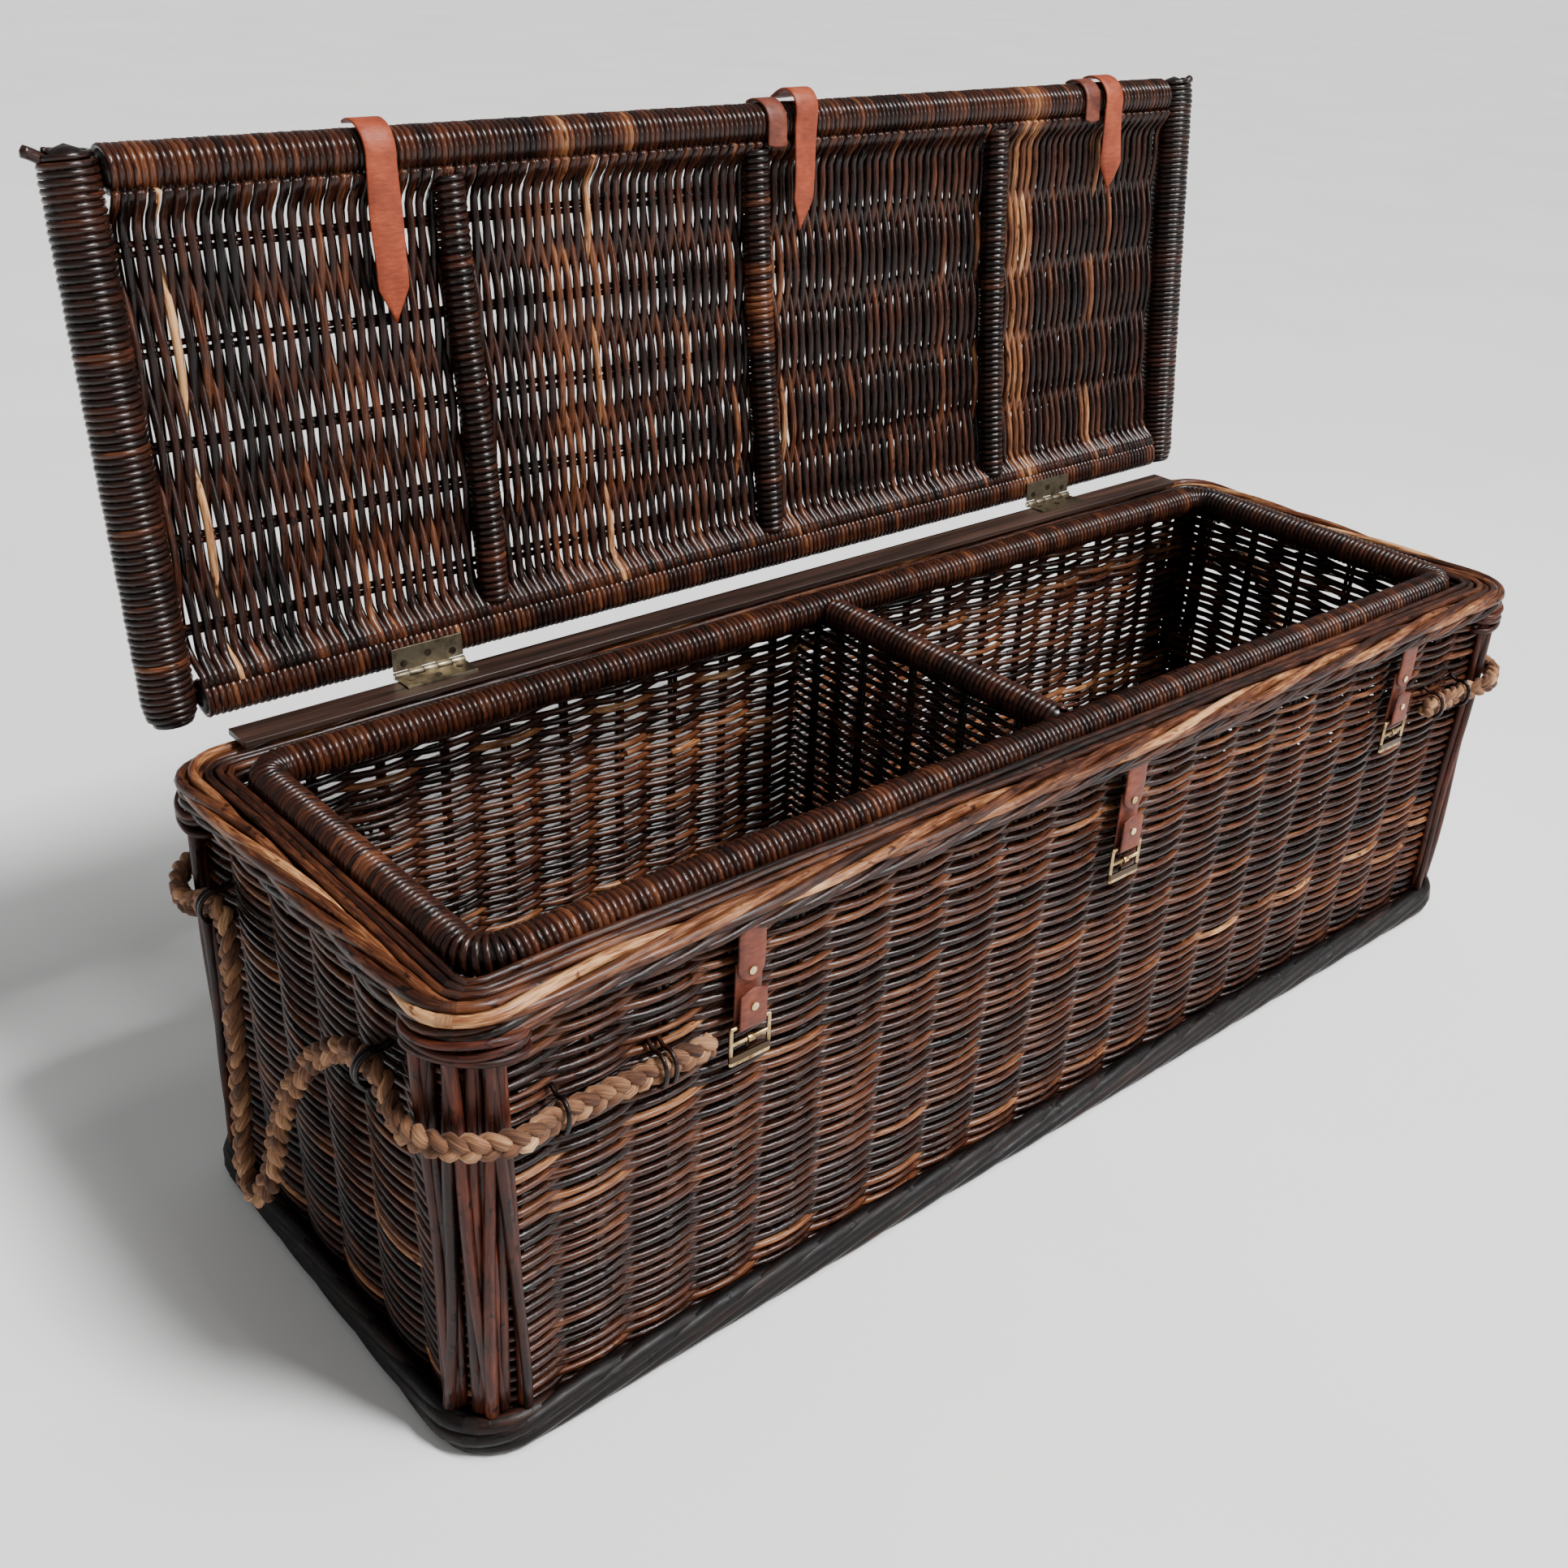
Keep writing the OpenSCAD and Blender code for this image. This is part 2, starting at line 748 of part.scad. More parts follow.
module strap(i) {
    color([0.70, 0.37, 0.24])
        translate([strap_x[i], strap_y, strap_z])
            difference() {
                bent_strap(arc_from, arc_to, strap_r, strap_w, tails[i]);
                tip_cuts(strap_r, strap_w, tails[i]);
            }
}

module strap_anchors() {
    color([0.42, 0.24, 0.17])
        for (x = anchor_x)
            translate([x, strap_y, strap_z]) rotate([-lid_lean, 0, 0])
                bent_strap(arc_from, arc_to, front_roll_r + gap, anchor_w, anchor_len);
}

base_panel();
foot_border();
front_wall();
back_wall();
left_wall();
right_wall();
front_wall_stakes();
back_wall_stakes();
left_wall_stakes();
right_wall_stakes();
corner_sticks(-1, -1);  // corner_sticks_front_left
corner_sticks(1, -1);  // corner_sticks_front_right
corner_sticks(-1, 1);  // corner_sticks_back_left
corner_sticks(1, 1);  // corner_sticks_back_right
corner_collars();
rim_outer_border();
rim_flat_border();
rim_roll();
divider_panel();
divider_stakes();
divider_roll();
hinge_batten();
hinge_lower_leaf(-1);  // hinge_lower_leaf_left
hinge_lower_leaf(1);  // hinge_lower_leaf_right
hinge_pin(-1);  // hinge_pin_left
hinge_pin(1);  // hinge_pin_right
batten_screws();
rope_run(-1);  // rope_run_left
rope_run(1);  // rope_run_right
rope_ties();
rope_handle(-1);  // rope_handle_left
rope_handle(1);  // rope_handle_right
rim_tab(0);  // rim_tab_left
rim_tab(1);  // rim_tab_centre
rim_tab(2);  // rim_tab_right
buckle_loop(0);  // buckle_loop_left
buckle_loop(1);  // buckle_loop_centre
buckle_loop(2);  // buckle_loop_right
tab_rivets();
buckle_frame(0);  // buckle_frame_left
buckle_frame(1);  // buckle_frame_centre
buckle_frame(2);  // buckle_frame_right
buckle_prong(0);  // buckle_prong_left
buckle_prong(1);  // buckle_prong_centre
buckle_prong(2);  // buckle_prong_right
lid_panel();
lid_stakes();
lid_front_roll();
lid_back_roll();
lid_side_roll(-1);  // lid_side_roll_left
lid_side_roll(1);  // lid_side_roll_right
lid_ribs();
hinge_upper_leaf(-1);  // hinge_upper_leaf_left
hinge_upper_leaf(1);  // hinge_upper_leaf_right
lid_screws();
strap_anchors();
strap(0);  // strap_left
strap(1);  // strap_centre
strap(2);  // strap_right
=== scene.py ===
"""The looks of the wicker storage trunk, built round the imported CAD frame. Metres, row frame."""

import math

import bpy
import numpy as np
from mathutils import Matrix, Vector


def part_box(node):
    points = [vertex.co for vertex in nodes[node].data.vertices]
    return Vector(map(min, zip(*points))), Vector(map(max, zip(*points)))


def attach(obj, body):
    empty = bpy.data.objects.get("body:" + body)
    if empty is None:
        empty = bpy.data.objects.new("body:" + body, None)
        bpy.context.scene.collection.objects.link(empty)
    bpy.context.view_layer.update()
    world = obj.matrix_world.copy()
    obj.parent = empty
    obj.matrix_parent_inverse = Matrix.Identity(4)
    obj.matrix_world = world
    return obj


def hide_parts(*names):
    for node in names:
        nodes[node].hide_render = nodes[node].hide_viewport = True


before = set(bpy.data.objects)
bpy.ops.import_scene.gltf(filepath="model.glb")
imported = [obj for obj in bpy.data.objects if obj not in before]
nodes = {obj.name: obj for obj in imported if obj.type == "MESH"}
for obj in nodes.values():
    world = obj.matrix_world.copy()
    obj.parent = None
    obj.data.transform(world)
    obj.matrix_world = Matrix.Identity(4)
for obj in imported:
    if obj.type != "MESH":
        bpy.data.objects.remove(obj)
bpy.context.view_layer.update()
scene = bpy.context.scene
rng = np.random.default_rng(23)
TAU = 2 * math.pi
MM = 0.001
FIBRE_R = 4 * MM  # the radius that a rod's streaks and knots are drawn for
CORE_TONE = 0.2  # of the rods inside a wrapping
LOBES, LOBE_TWIST = 4, 90  # of a ridged rod: lobes round it, and how far they turn in radians per metre


# ---- camera ----


CAMERA_PLACE = (-0.9668, -0.8995, 0.9558)
CAMERA_TURNS = (-41.52, 28.60, 2.74)  # azimuth, elevation and roll in degrees
LENS, SENSOR = 38.85, 36


def add_camera():
    azimuth, elevation, roll = (math.radians(a) for a in CAMERA_TURNS)
    level = math.cos(elevation)
    back = Vector((math.sin(azimuth) * level, -math.cos(azimuth) * level, math.sin(elevation)))
    right = (-back).cross(Vector((0, 0, 1))).normalized()
    up = right.cross(-back)
    c, s = math.cos(roll), math.sin(roll)
    axes = Matrix((c * right + s * up, c * up - s * right, back)).transposed()
    data = bpy.data.cameras.new("camera")
    data.lens, data.sensor_width = LENS, SENSOR
    camera = bpy.data.objects.new("camera", data)
    camera.matrix_world = Matrix.Translation(CAMERA_PLACE) @ axes.to_4x4()
    scene.collection.objects.link(camera)
    scene.camera = camera


add_camera()


# ---- mesh building ----


def unit(v):
    return v / np.maximum(np.linalg.norm(v, axis=-1, keepdims=True), 1e-12)


def lengths(p):
    return np.concatenate([[0], np.cumsum(np.linalg.norm(np.diff(p, axis=0), axis=1))])


def smooth_path(points, step):
    """A Catmull-Rom curve through the points, with points about step apart."""
    p = np.asarray(points, float)
    e = np.vstack([2 * p[0] - p[1], p, 2 * p[-1] - p[-2]])
    t = np.linspace(0, 1, 12, endpoint=False)[:, None]
    out = []
    for i in range(len(p) - 1):
        a, b, c, d = e[i : i + 4]
        curve = (2 * a - 5 * b + 4 * c - d) * t**2 + (3 * b - a - 3 * c + d) * t**3
        out.append(0.5 * (2 * b + (c - a) * t + curve))
    fine = np.vstack([*out, p[-1:]])
    s = lengths(fine)
    at = np.linspace(0, s[-1], max(3, round(s[-1] / step) + 1))
    return np.stack([np.interp(at, s, fine[:, k]) for k in range(3)], axis=1)


class Rods:
    """Collects swept rods and bands into one mesh.

    Each point keeps a tone, from 0 dark to 1 light, and fibre coordinates: how far along its rod it is,
    and where round it.
    """

    def __init__(self):
        self.points, self.quads, self.tris, self.tones, self.fibres = [], [], [], [], []
        self.count = 0

    def sweep(self, p, a, section, tone, closed=False):
        """p: points of the line. a: one axis of the section at each. section: points by ring by 2."""
        n, m = section.shape[:2]
        t = unit(np.roll(p, -1, 0) - np.roll(p, 1, 0) if closed else np.gradient(p, axis=0))
        a = unit(a - (a * t).sum(1, keepdims=True) * t)
        b = np.cross(t, a)
        ring = p[:, None] + section[..., :1] * a[:, None] + section[..., 1:] * b[:, None]
        angle = np.arange(m) / m * TAU
        along = lengths(p) + rng.uniform(0, 40)
        round_it = [np.tile(FIBRE_R * np.cos(angle), n), np.tile(FIBRE_R * np.sin(angle), n)]
        fibre = np.stack([np.repeat(along, m), *round_it], axis=1)
        tone = np.repeat(np.broadcast_to(tone, (n,)), m)
        i = np.arange(n if closed else n - 1)[:, None]
        k = np.arange(m)[None]
        here, there = i * m + self.count, (i + 1) % n * m + self.count
        quad = np.stack([here + k, here + (k + 1) % m, there + (k + 1) % m, there + k], -1)
        self.quads.append(quad.reshape(-1, 4))
        self.points.append(ring.reshape(-1, 3))
        if not closed:
            size = 0.35 * np.abs(section).max((1, 2))
            ends = np.stack([p[0] - t[0] * size[0], p[-1] + t[-1] * size[-1]])
            self.points.append(ends)
            fibre = np.vstack([fibre, fibre[[0, -1]]])
            tone = np.append(tone, tone[[0, -1]])
            first, last = self.count + n * m, self.count + n * m + 1
            k = np.arange(m)
            low, high = self.count + k, self.count + (n - 1) * m + k
            self.tris.append(np.stack([np.full(m, first), np.roll(low, -1), low], -1))
            self.tris.append(np.stack([np.full(m, last), high, np.roll(high, -1)], -1))
        self.fibres.append(fibre)
        self.tones.append(tone)
        self.count += len(tone)

    def rod(self, p, r, ref, tone, sides=6, flat=1.0, closed=False, ridge=0.0):
        """A round rod, flattened along ref by flat. ridge makes it lobed, turning along its length."""
        p = np.asarray(p, float)
        n = len(p)
        ref = np.broadcast_to(np.asarray(ref, float), p.shape)
        angle = np.arange(sides) / sides * TAU
        r = np.broadcast_to(r, (n,))[:, None]
        if ridge:
            r = r * (1 + ridge * np.cos(LOBES * angle[None] + lengths(p)[:, None] * LOBE_TWIST))
        section = np.stack(
            [flat * r * np.cos(angle), r * np.broadcast_to(np.sin(angle), (n, sides))], -1
        )
        self.sweep(p, ref, section, tone, closed)

    def band(self, p, across, half, thick, tone):
        """A flat strip with rounded edges: half its width and its thickness may vary along it."""
        p = np.asarray(p, float)
        n = len(p)
        across = np.broadcast_to(np.asarray(across, float), p.shape)
        half = np.broadcast_to(half, (n,))[:, None]
        thick = np.broadcast_to(thick, (n,))[:, None]
        x = np.array([1, 1, 0.9, 0.5, 0, -0.5, -0.9, -1, -1, -0.9, -0.5, 0, 0.5, 0.9])
        y = np.array([-0.25, 0.25, 0.5, 0.5, 0.5, 0.5, 0.5, 0.25, -0.25] + [-0.5] * 5)
        edge = np.minimum(half * 0.1, thick * 0.3)
        wide = np.where(abs(x) == 0.9, np.sign(x) * (half - edge), x * half)
        self.sweep(p, across, np.stack([wide, y * thick], -1), tone)

    def coil(self, line, ref, radius, pitch, r, tones, per_turn, closed, bound):
        """A slightly flat strand wound round a line. bound moves the points of the winding."""
        s = lengths(np.vstack([line, line[:1]]) if closed else line)
        turns = max(2, round(s[-1] / pitch))
        at = np.linspace(0, s[-1], turns * per_turn + 1)
        if closed:
            at = at[:-1]
            line = np.vstack([line, line[:1]])
            ref = np.vstack([ref, ref[:1]])
        c = np.stack([np.interp(at, s, line[:, k]) for k in range(3)], 1)
        n = unit(np.stack([np.interp(at, s, ref[:, k]) for k in range(3)], 1))
        t = unit(np.roll(c, -1, 0) - np.roll(c, 1, 0) if closed else np.gradient(c, axis=0))
        b = np.cross(t, n)
        phase = (np.arange(len(at)) / per_turn * TAU)[:, None]
        outward = np.cos(phase) * n + np.sin(phase) * b
        radius = np.interp(at / s[-1], *radius)[:, None] if isinstance(radius, tuple) else radius
        wobble = 1 + 0.012 * np.sin(at * 310 + 2 * np.sin(at * 97))[:, None]
        p = c + radius * wobble * outward
        if bound is not None:
            p = bound(p)
        turn = np.arange(len(at)) / per_turn
        tone = np.interp(turn, np.arange(turns + 1), tones(np.linspace(0, 1, turns + 1)))
        self.rod(p, r, outward, tone, 6, 0.78, closed)

    def wrapped(
        self, line, ref, core, winding, pitch, strand, tones, per_turn, sides=10, closed=False, bound=None
    ):
        """A thick core with a strand wound round it. core and winding are radii."""
        self.rod(line, core, ref, CORE_TONE, sides, closed=closed)
        self.coil(line, ref, winding, pitch, strand, tones, per_turn, closed, bound)

    def make(self, name, body, slot, material, *replaced):
        points = np.concatenate(self.points)
        quads = np.concatenate(self.quads)
        tris = np.concatenate(self.tris) if self.tris else np.zeros((0, 3), int)
        mesh = bpy.data.meshes.new(name)
        mesh.vertices.add(len(points))
        mesh.vertices.foreach_set("co", points.astype(np.float32).ravel())
        corner = np.concatenate([quads.ravel(), tris.ravel()]).astype(np.int32)
        mesh.loops.add(len(corner))
        mesh.loops.foreach_set("vertex_index", corner)
        sizes = np.concatenate([np.full(len(quads), 4), np.full(len(tris), 3)])
        mesh.polygons.add(len(sizes))
        starts = np.concatenate([[0], np.cumsum(sizes)[:-1]]).astype(np.int32)
        mesh.polygons.foreach_set("loop_start", starts)
        mesh.update(calc_edges=True)
        tone = mesh.attributes.new("tone", "FLOAT", "POINT")
        tone.data.foreach_set("value", np.concatenate(self.tones).astype(np.float32))
        fibre = mesh.attributes.new("fibre", "FLOAT_VECTOR", "POINT")
        fibre.data.foreach_set("vector", np.concatenate(self.fibres).astype(np.float32).ravel())
        mesh.shade_smooth()
        mesh.materials.append(material)
        piece = bpy.data.objects.new(name, mesh)
        scene.collection.objects.link(piece)
        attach(piece, body)
        if replaced:
            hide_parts(*replaced)
        return piece


# ---- materials ----


def linear(*srgb):
    """A colour from its 0 to 255 screen values."""
    c = np.array(srgb) / 255
    c = np.where(c <= 0.04045, c / 12.92, ((c + 0.055) / 1.055) ** 2.4)
    return (*c.tolist(), 1.0)


class Nodes:
    """A short way to write a material's node tree."""

    def __init__(self, name):
        self.material = bpy.data.materials.new(name)
        self.material.use_nodes = True
        self.tree = self.material.node_tree
        self.shader = self.tree.nodes["Principled BSDF"]

    def add(self, kind, inputs=None, **options):
        node = self.tree.nodes.new("ShaderNode" + kind)
        for key, value in options.items():
            setattr(node, key, value)
        for key, value in (inputs or {}).items():
            self.put(node.inputs[key], value)
        return node

    def put(self, socket, value):
        if isinstance(value, bpy.types.NodeSocket):
            self.tree.links.new(value, socket)
        else:
            socket.default_value = value

    def math(self, operation, a, b, clamp=False):
        return self.add("Math", {0: a, 1: b}, operation=operation, use_clamp=clamp).outputs[0]

    def stretched(self, vector, scale):
        return self.add("VectorMath", {0: vector, 1: scale}, operation="MULTIPLY").outputs[0]

    def noise(self, vector, scale, detail=3.0, rough=0.55):
        inputs = {"Vector": vector, "Scale": scale, "Detail": detail, "Roughness": rough}
        return self.add("TexNoise", inputs).outputs["Fac"]

    def ramp(self, fac, stops):
        node = self.add("ValToRGB", {"Fac": fac})
        marks = node.color_ramp.elements
        while len(marks) < len(stops):
            marks.new(0.5)
        for mark, (place, colour) in zip(marks, stops):
            mark.position, mark.color = place, colour
        return node.outputs["Color"]

    def spread(self, value, low, high, from_low=0.3, from_high=0.7):
        inputs = {0: value, 1: from_low, 2: from_high, 3: low, 4: high}
        return self.add("MapRange", inputs).outputs[0]

    def bump(self, height, distance, strength=1.0, under=None):
        inputs = {"Height": height, "Distance": distance, "Strength": strength}
        if under is not None:
            inputs["Normal"] = under
        return self.add("Bump", inputs).outputs["Normal"]

    def finish(self, **sockets):
        for key, value in sockets.items():
            self.put(self.shader.inputs[key.replace("_", " ")], value)
        return self.material


ESPRESSO = [
    (0.0, linear(5, 3, 3)),
    (0.28, linear(18, 9, 6)),
    (0.5, linear(48, 22, 13)),
    (0.7, linear(90, 50, 29)),
    (0.86, linear(140, 92, 58)),
    (1.0, linear(196, 148, 102)),
]


REDDISH = [
    (0.0, linear(6, 3, 3)),
    (0.28, linear(26, 11, 7)),
    (0.5, linear(62, 26, 16)),
    (0.7, linear(96, 46, 28)),
    (1.0, linear(158, 100, 64)),
]


def willow(name, stops=ESPRESSO, shift=0.0, rough=(0.18, 0.36), coat=0.12, streak=0.3):
    """Lacquered willow or cane: streaks and knots run along each rod."""
    n = Nodes(name)
    fibre = n.add("Attribute", attribute_name="fibre").outputs["Vector"]
    tone = n.add("Attribute", attribute_name="tone").outputs["Fac"]
    fine = n.noise(n.stretched(fibre, (60, 700, 700)), 1.0, 4.0)
    broad = n.noise(n.stretched(fibre, (22, 60, 60)), 1.0, 2.0)
    knots = n.noise(n.stretched(fibre, (95, 160, 160)), 1.0, 1.0)
    mixed = n.math("ADD", tone, n.spread(fine, -streak / 2 + shift, streak / 2 + shift))
    mixed = n.math("ADD", mixed, n.spread(broad, -0.11, 0.11))
    mixed = n.math("SUBTRACT", mixed, n.spread(knots, 0.0, 0.3, 0.66, 0.78), True)
    height = n.math("ADD", fine, n.spread(knots, 0.0, 1.2, 0.62, 0.8))
    return n.finish(
        Base_Color=n.ramp(mixed, stops),
        Roughness=n.spread(fine, *rough),
        Normal=n.bump(height, 0.00035),
        Specular_IOR_Level=0.2,
        Coat_Weight=coat,
        Coat_Roughness=0.15,
    )


def rope_fibre(name):
    n = Nodes(name)
    fibre = n.add("Attribute", attribute_name="fibre").outputs["Vector"]
    tone = n.add("Attribute", attribute_name="tone").outputs["Fac"]
    threads = n.noise(n.stretched(fibre, (45, 950, 950)), 1.0, 4.0, 0.6)
    broad = n.noise(n.stretched(fibre, (70, 150, 150)), 1.0, 2.0)
    mixed = n.math("ADD", tone, n.spread(threads, -0.22, 0.22))
    mixed = n.math("ADD", mixed, n.spread(broad, -0.16, 0.16), True)
    stops = [
        (0.0, linear(26, 15, 10)),
        (0.35, linear(78, 49, 33)),
        (0.6, linear(120, 82, 57)),
        (0.85, linear(160, 118, 84)),
        (1.0, linear(196, 156, 118)),
    ]
    return n.finish(
        Base_Color=n.ramp(mixed, stops),
        Roughness=n.spread(threads, 0.55, 0.85),
        Normal=n.bump(threads, 0.0009),
        Specular_IOR_Level=0.2,
        Sheen_Weight=0.05,
    )


def leather(name, dark, mid, light, rough=(0.42, 0.62)):
    n = Nodes(name)
    place = n.add("TexCoord").outputs["Object"]
    broad = n.noise(place, 45.0, 3.0)
    grain = n.add("TexVoronoi", {"Vector": place, "Scale": 1500.0}).outputs["Distance"]
    creases = n.noise(n.stretched(place, (1.0, 1.0, 3.0)), 130.0, 4.0)
    mixed = n.math("ADD", n.math("MULTIPLY", broad, 0.6), n.math("MULTIPLY", creases, 0.4))
    colour = n.ramp(mixed, [(0.3, dark), (0.5, mid), (0.68, light)])
    normal = n.bump(creases, 0.0006, 0.6)
    return n.finish(
        Base_Color=colour,
        Specular_IOR_Level=0.3,
        Roughness=n.spread(broad, *rough),
        Normal=n.bump(grain, 0.00012, 0.7, normal),
    )


def metal(name, dark, light, rough=(0.2, 0.45), scale=90.0, plate=None):
    """Cloudy brushed metal. plate is a dull colour and the two heights that it lies between."""
    n = Nodes(name)
    place = n.add("TexCoord").outputs["Object"]
    cloud = n.noise(place, scale, 5.0, 0.6)
    scratch = n.noise(n.stretched(place, (1.0, 8.0, 8.0)), 350.0, 3.0)
    colour = n.ramp(cloud, [(0.35, dark), (0.62, light)])
    if plate:
        dull, low, high = plate
        z = n.add("SeparateXYZ", {0: place}).outputs["Z"]
        heights = {0: z, 1: (low + high) / 2, 2: (high - low) / 2}
        inside = n.add("Math", heights, operation="COMPARE").outputs[0]
        mixed = {"Factor": inside, "A": colour, "B": dull}
        colour = n.add("Mix", mixed, data_type="RGBA").outputs["Result"]
    return n.finish(
        Base_Color=colour,
        Metallic=1.0,
        Roughness=n.spread(cloud, rough[1], rough[0]),
        Normal=n.bump(scratch, 0.00006, 0.5),
    )


def dark_wood(name):
    n = Nodes(name)
    place = n.add("TexCoord").outputs["Object"]
    grain = n.noise(n.stretched(place, (4.0, 130.0, 130.0)), 1.0, 5.0, 0.6)
    stops = [(0.3, linear(22, 14, 11)), (0.55, linear(50, 31, 23)), (0.75, linear(78, 50, 36))]
    return n.finish(
        Base_Color=n.ramp(grain, stops),
        Roughness=n.spread(grain, 0.35, 0.6),
        Normal=n.bump(grain, 0.0004),
        Coat_Weight=0.15,
    )


WOVEN = willow("woven_willow")
FOOT = willow("foot_willow", shift=-0.22, rough=(0.4, 0.65), coat=0.02)
STAKES = willow("stake_willow", shift=-0.04)
STICKS = willow("corner_stick_willow", REDDISH, shift=-0.05, rough=(0.3, 0.55), coat=0.05)
RIM = willow("rim_willow", shift=0.02, rough=(0.26, 0.5), coat=0.1)
FLAT = willow("flat_rod_willow", rough=(0.26, 0.5), coat=0.1)
WRAPPED = willow("wrapped_cane", rough=(0.18, 0.34), coat=0.25, streak=0.2)
TIES = willow("tie_willow", shift=-0.05)
ROPE = rope_fibre("plaited_seagrass")
TAB_LEATHER = leather("tab_leather", linear(58, 25, 17), linear(98, 46, 31), linear(124, 66, 46))
STRAP_COLOURS = linear(104, 42, 24), linear(136, 58, 32), linear(158, 76, 46)
STRAP_LEATHER = leather("strap_leather", *STRAP_COLOURS, rough=(0.4, 0.6))
DULL_PLATE = linear(74, 58, 42), 0.2467, 0.2525
BRASS = metal("buckle_brass", linear(112, 86, 54), linear(204, 176, 128), (0.2, 0.42), plate=DULL_PLATE)
RIVET = metal("rivet_brass", linear(176, 150, 104), linear(238, 220, 178), (0.2, 0.4))
HINGE = metal("aged_hinge_brass", linear(70, 62, 50), linear(132, 122, 102), (0.3, 0.55), 60.0)
PIN = metal("bright_pin", linear(140, 132, 112), linear(206, 200, 182), (0.18, 0.35))
SCREW = metal("screw_steel", linear(34, 28, 24), linear(86, 76, 64), (0.3, 0.55))
BATTEN = dark_wood("batten_wood")


# ---- places, in metres, as in the CAD source ----

HALF_X, HALF_Y = 0.600, 0.206
WALL_X, WALL_Y, WALL_R, WALL_T = 0.586, 0.192, 0.034, 0.012
CORNER_X, CORNER_Y = WALL_X - WALL_R, WALL_Y - WALL_R
WALL_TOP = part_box("front_wall")[1].z
LONG_STAKES, SHORT_STAKES = 20, 6
RIM_R = 0.048
BUCKLE_X = (-0.370, 0.020, 0.410)
PIN_Y, PIN_Z = 0.211, 0.3767
LEAN = math.radians(6.5)
LID_FACE = 0.0021
THIRDS = ("left", "centre", "right")


def mm(points):
    return np.array(points, float) * MM


# ---- rope ----

FRONT_ROUTE = mm(
    [
        [-403, -204, 271], [-430, -204, 271], [-460, -204, 271], [-490, -204, 271], [-515, -204, 271],
        [-526, -204, 271], [-540, -209, 273], [-554, -213, 275], [-574, -208, 276], [-591, -196, 276],
        [-603, -178, 275], [-606, -160, 274], [-605, -144, 278], [-602, -131, 286], [-601, -122, 290],
        [-601, -115, 290],
    ]
)
HANDLE_ROUTE = mm(
    [
        [-601, -114, 290], [-601, -107, 290], [-601, -95, 288], [-603, -76, 281], [-607, -54, 265],
        [-612, -35, 243], [-617, -20, 217], [-622, -11, 190], [-627, -7, 163], [-632, -4, 139],
        [-636, 5, 121], [-638, 18, 115], [-636, 31, 122], [-632, 39, 141], [-627, 46, 166],
        [-622, 55, 193], [-617, 65, 220], [-611, 76, 247], [-605, 87, 271], [-602, 98, 285],
        [-601, 107, 290], [-601, 114, 290],
    ]
)
BRAID_LENGTH, BRAID_STEP = 0.035, 0.0026
BRAID_WIDE, BRAID_DEEP, STRAND_R = 0.0053, 0.0030, 0.0044
TIE_R, TIE_STEP, FRONT_TIE, END_TIE = 0.0018, 0.003, 0.0115, 0.0124


def outward(p):
    """The trunk's outward direction beside each point, level."""
    away = p[:, :2] - np.clip(p[:, :2], [-CORNER_X, -CORNER_Y], [CORNER_X, CORNER_Y])
    return np.column_stack([unit(away), np.zeros(len(p))])


def braid(rods, line):
    """Three strands plaited flat along a line, with the flat side outward."""
    t = unit(np.gradient(line, axis=0))
    n = outward(line)
    n = unit(n - (n * t).sum(1, keepdims=True) * t)
    b = np.cross(t, n)
    s = lengths(line)
    for k in range(3):
        phase = TAU * (s / BRAID_LENGTH + k / 3)
        p = line + BRAID_WIDE * np.sin(phase)[:, None] * b
        p += BRAID_DEEP * np.sin(2 * phase)[:, None] * n
        r = STRAND_R * (1 + 0.07 * np.sin(phase * 2 + k) + 0.05 * np.sin(s * 410 + 2 * k))
        tone = 0.55 + 0.18 * np.sin(s * 37 + 2.1 * k) + 0.1 * np.sin(s * 171 + k)
        rods.rod(p, r, n, tone, 12, 0.9, ridge=0.07)


def mirrored(p, x, y=1):
    return p * np.array([x, y, 1])


for side, name in ((1, "left"), (-1, "right")):
    loop_line = smooth_path(mirrored(HANDLE_ROUTE, side), BRAID_STEP)
    rods = Rods()
    braid(rods, loop_line)
    handle = rods.make(f"plaited_handle_{name}", f"handle_{name}", "rope", ROPE, f"rope_handle_{name}")
    rods = Rods()
    skipped = 2 if side < 0 else 0
    for flip, points in ((1, FRONT_ROUTE[skipped:]), (-1, FRONT_ROUTE)):
        braid(rods, smooth_path(mirrored(points, side, flip), BRAID_STEP))
    rods.make(f"plaited_run_{name}", "trunk", "rope", ROPE, f"rope_run_{name}")


def tie(rods, centre, shape, tails, ref, tone, flip):
    """An open loop round the rope, with two tails in mm that go into the wall."""
    loop = mm(centre) + shape
    loop = np.vstack([loop[0] + mm(tails[0]), loop, loop[-1] + mm(tails[1])])
    rods.rod(mirrored(smooth_path(loop, TIE_STEP), *flip), TIE_R, ref, tone)


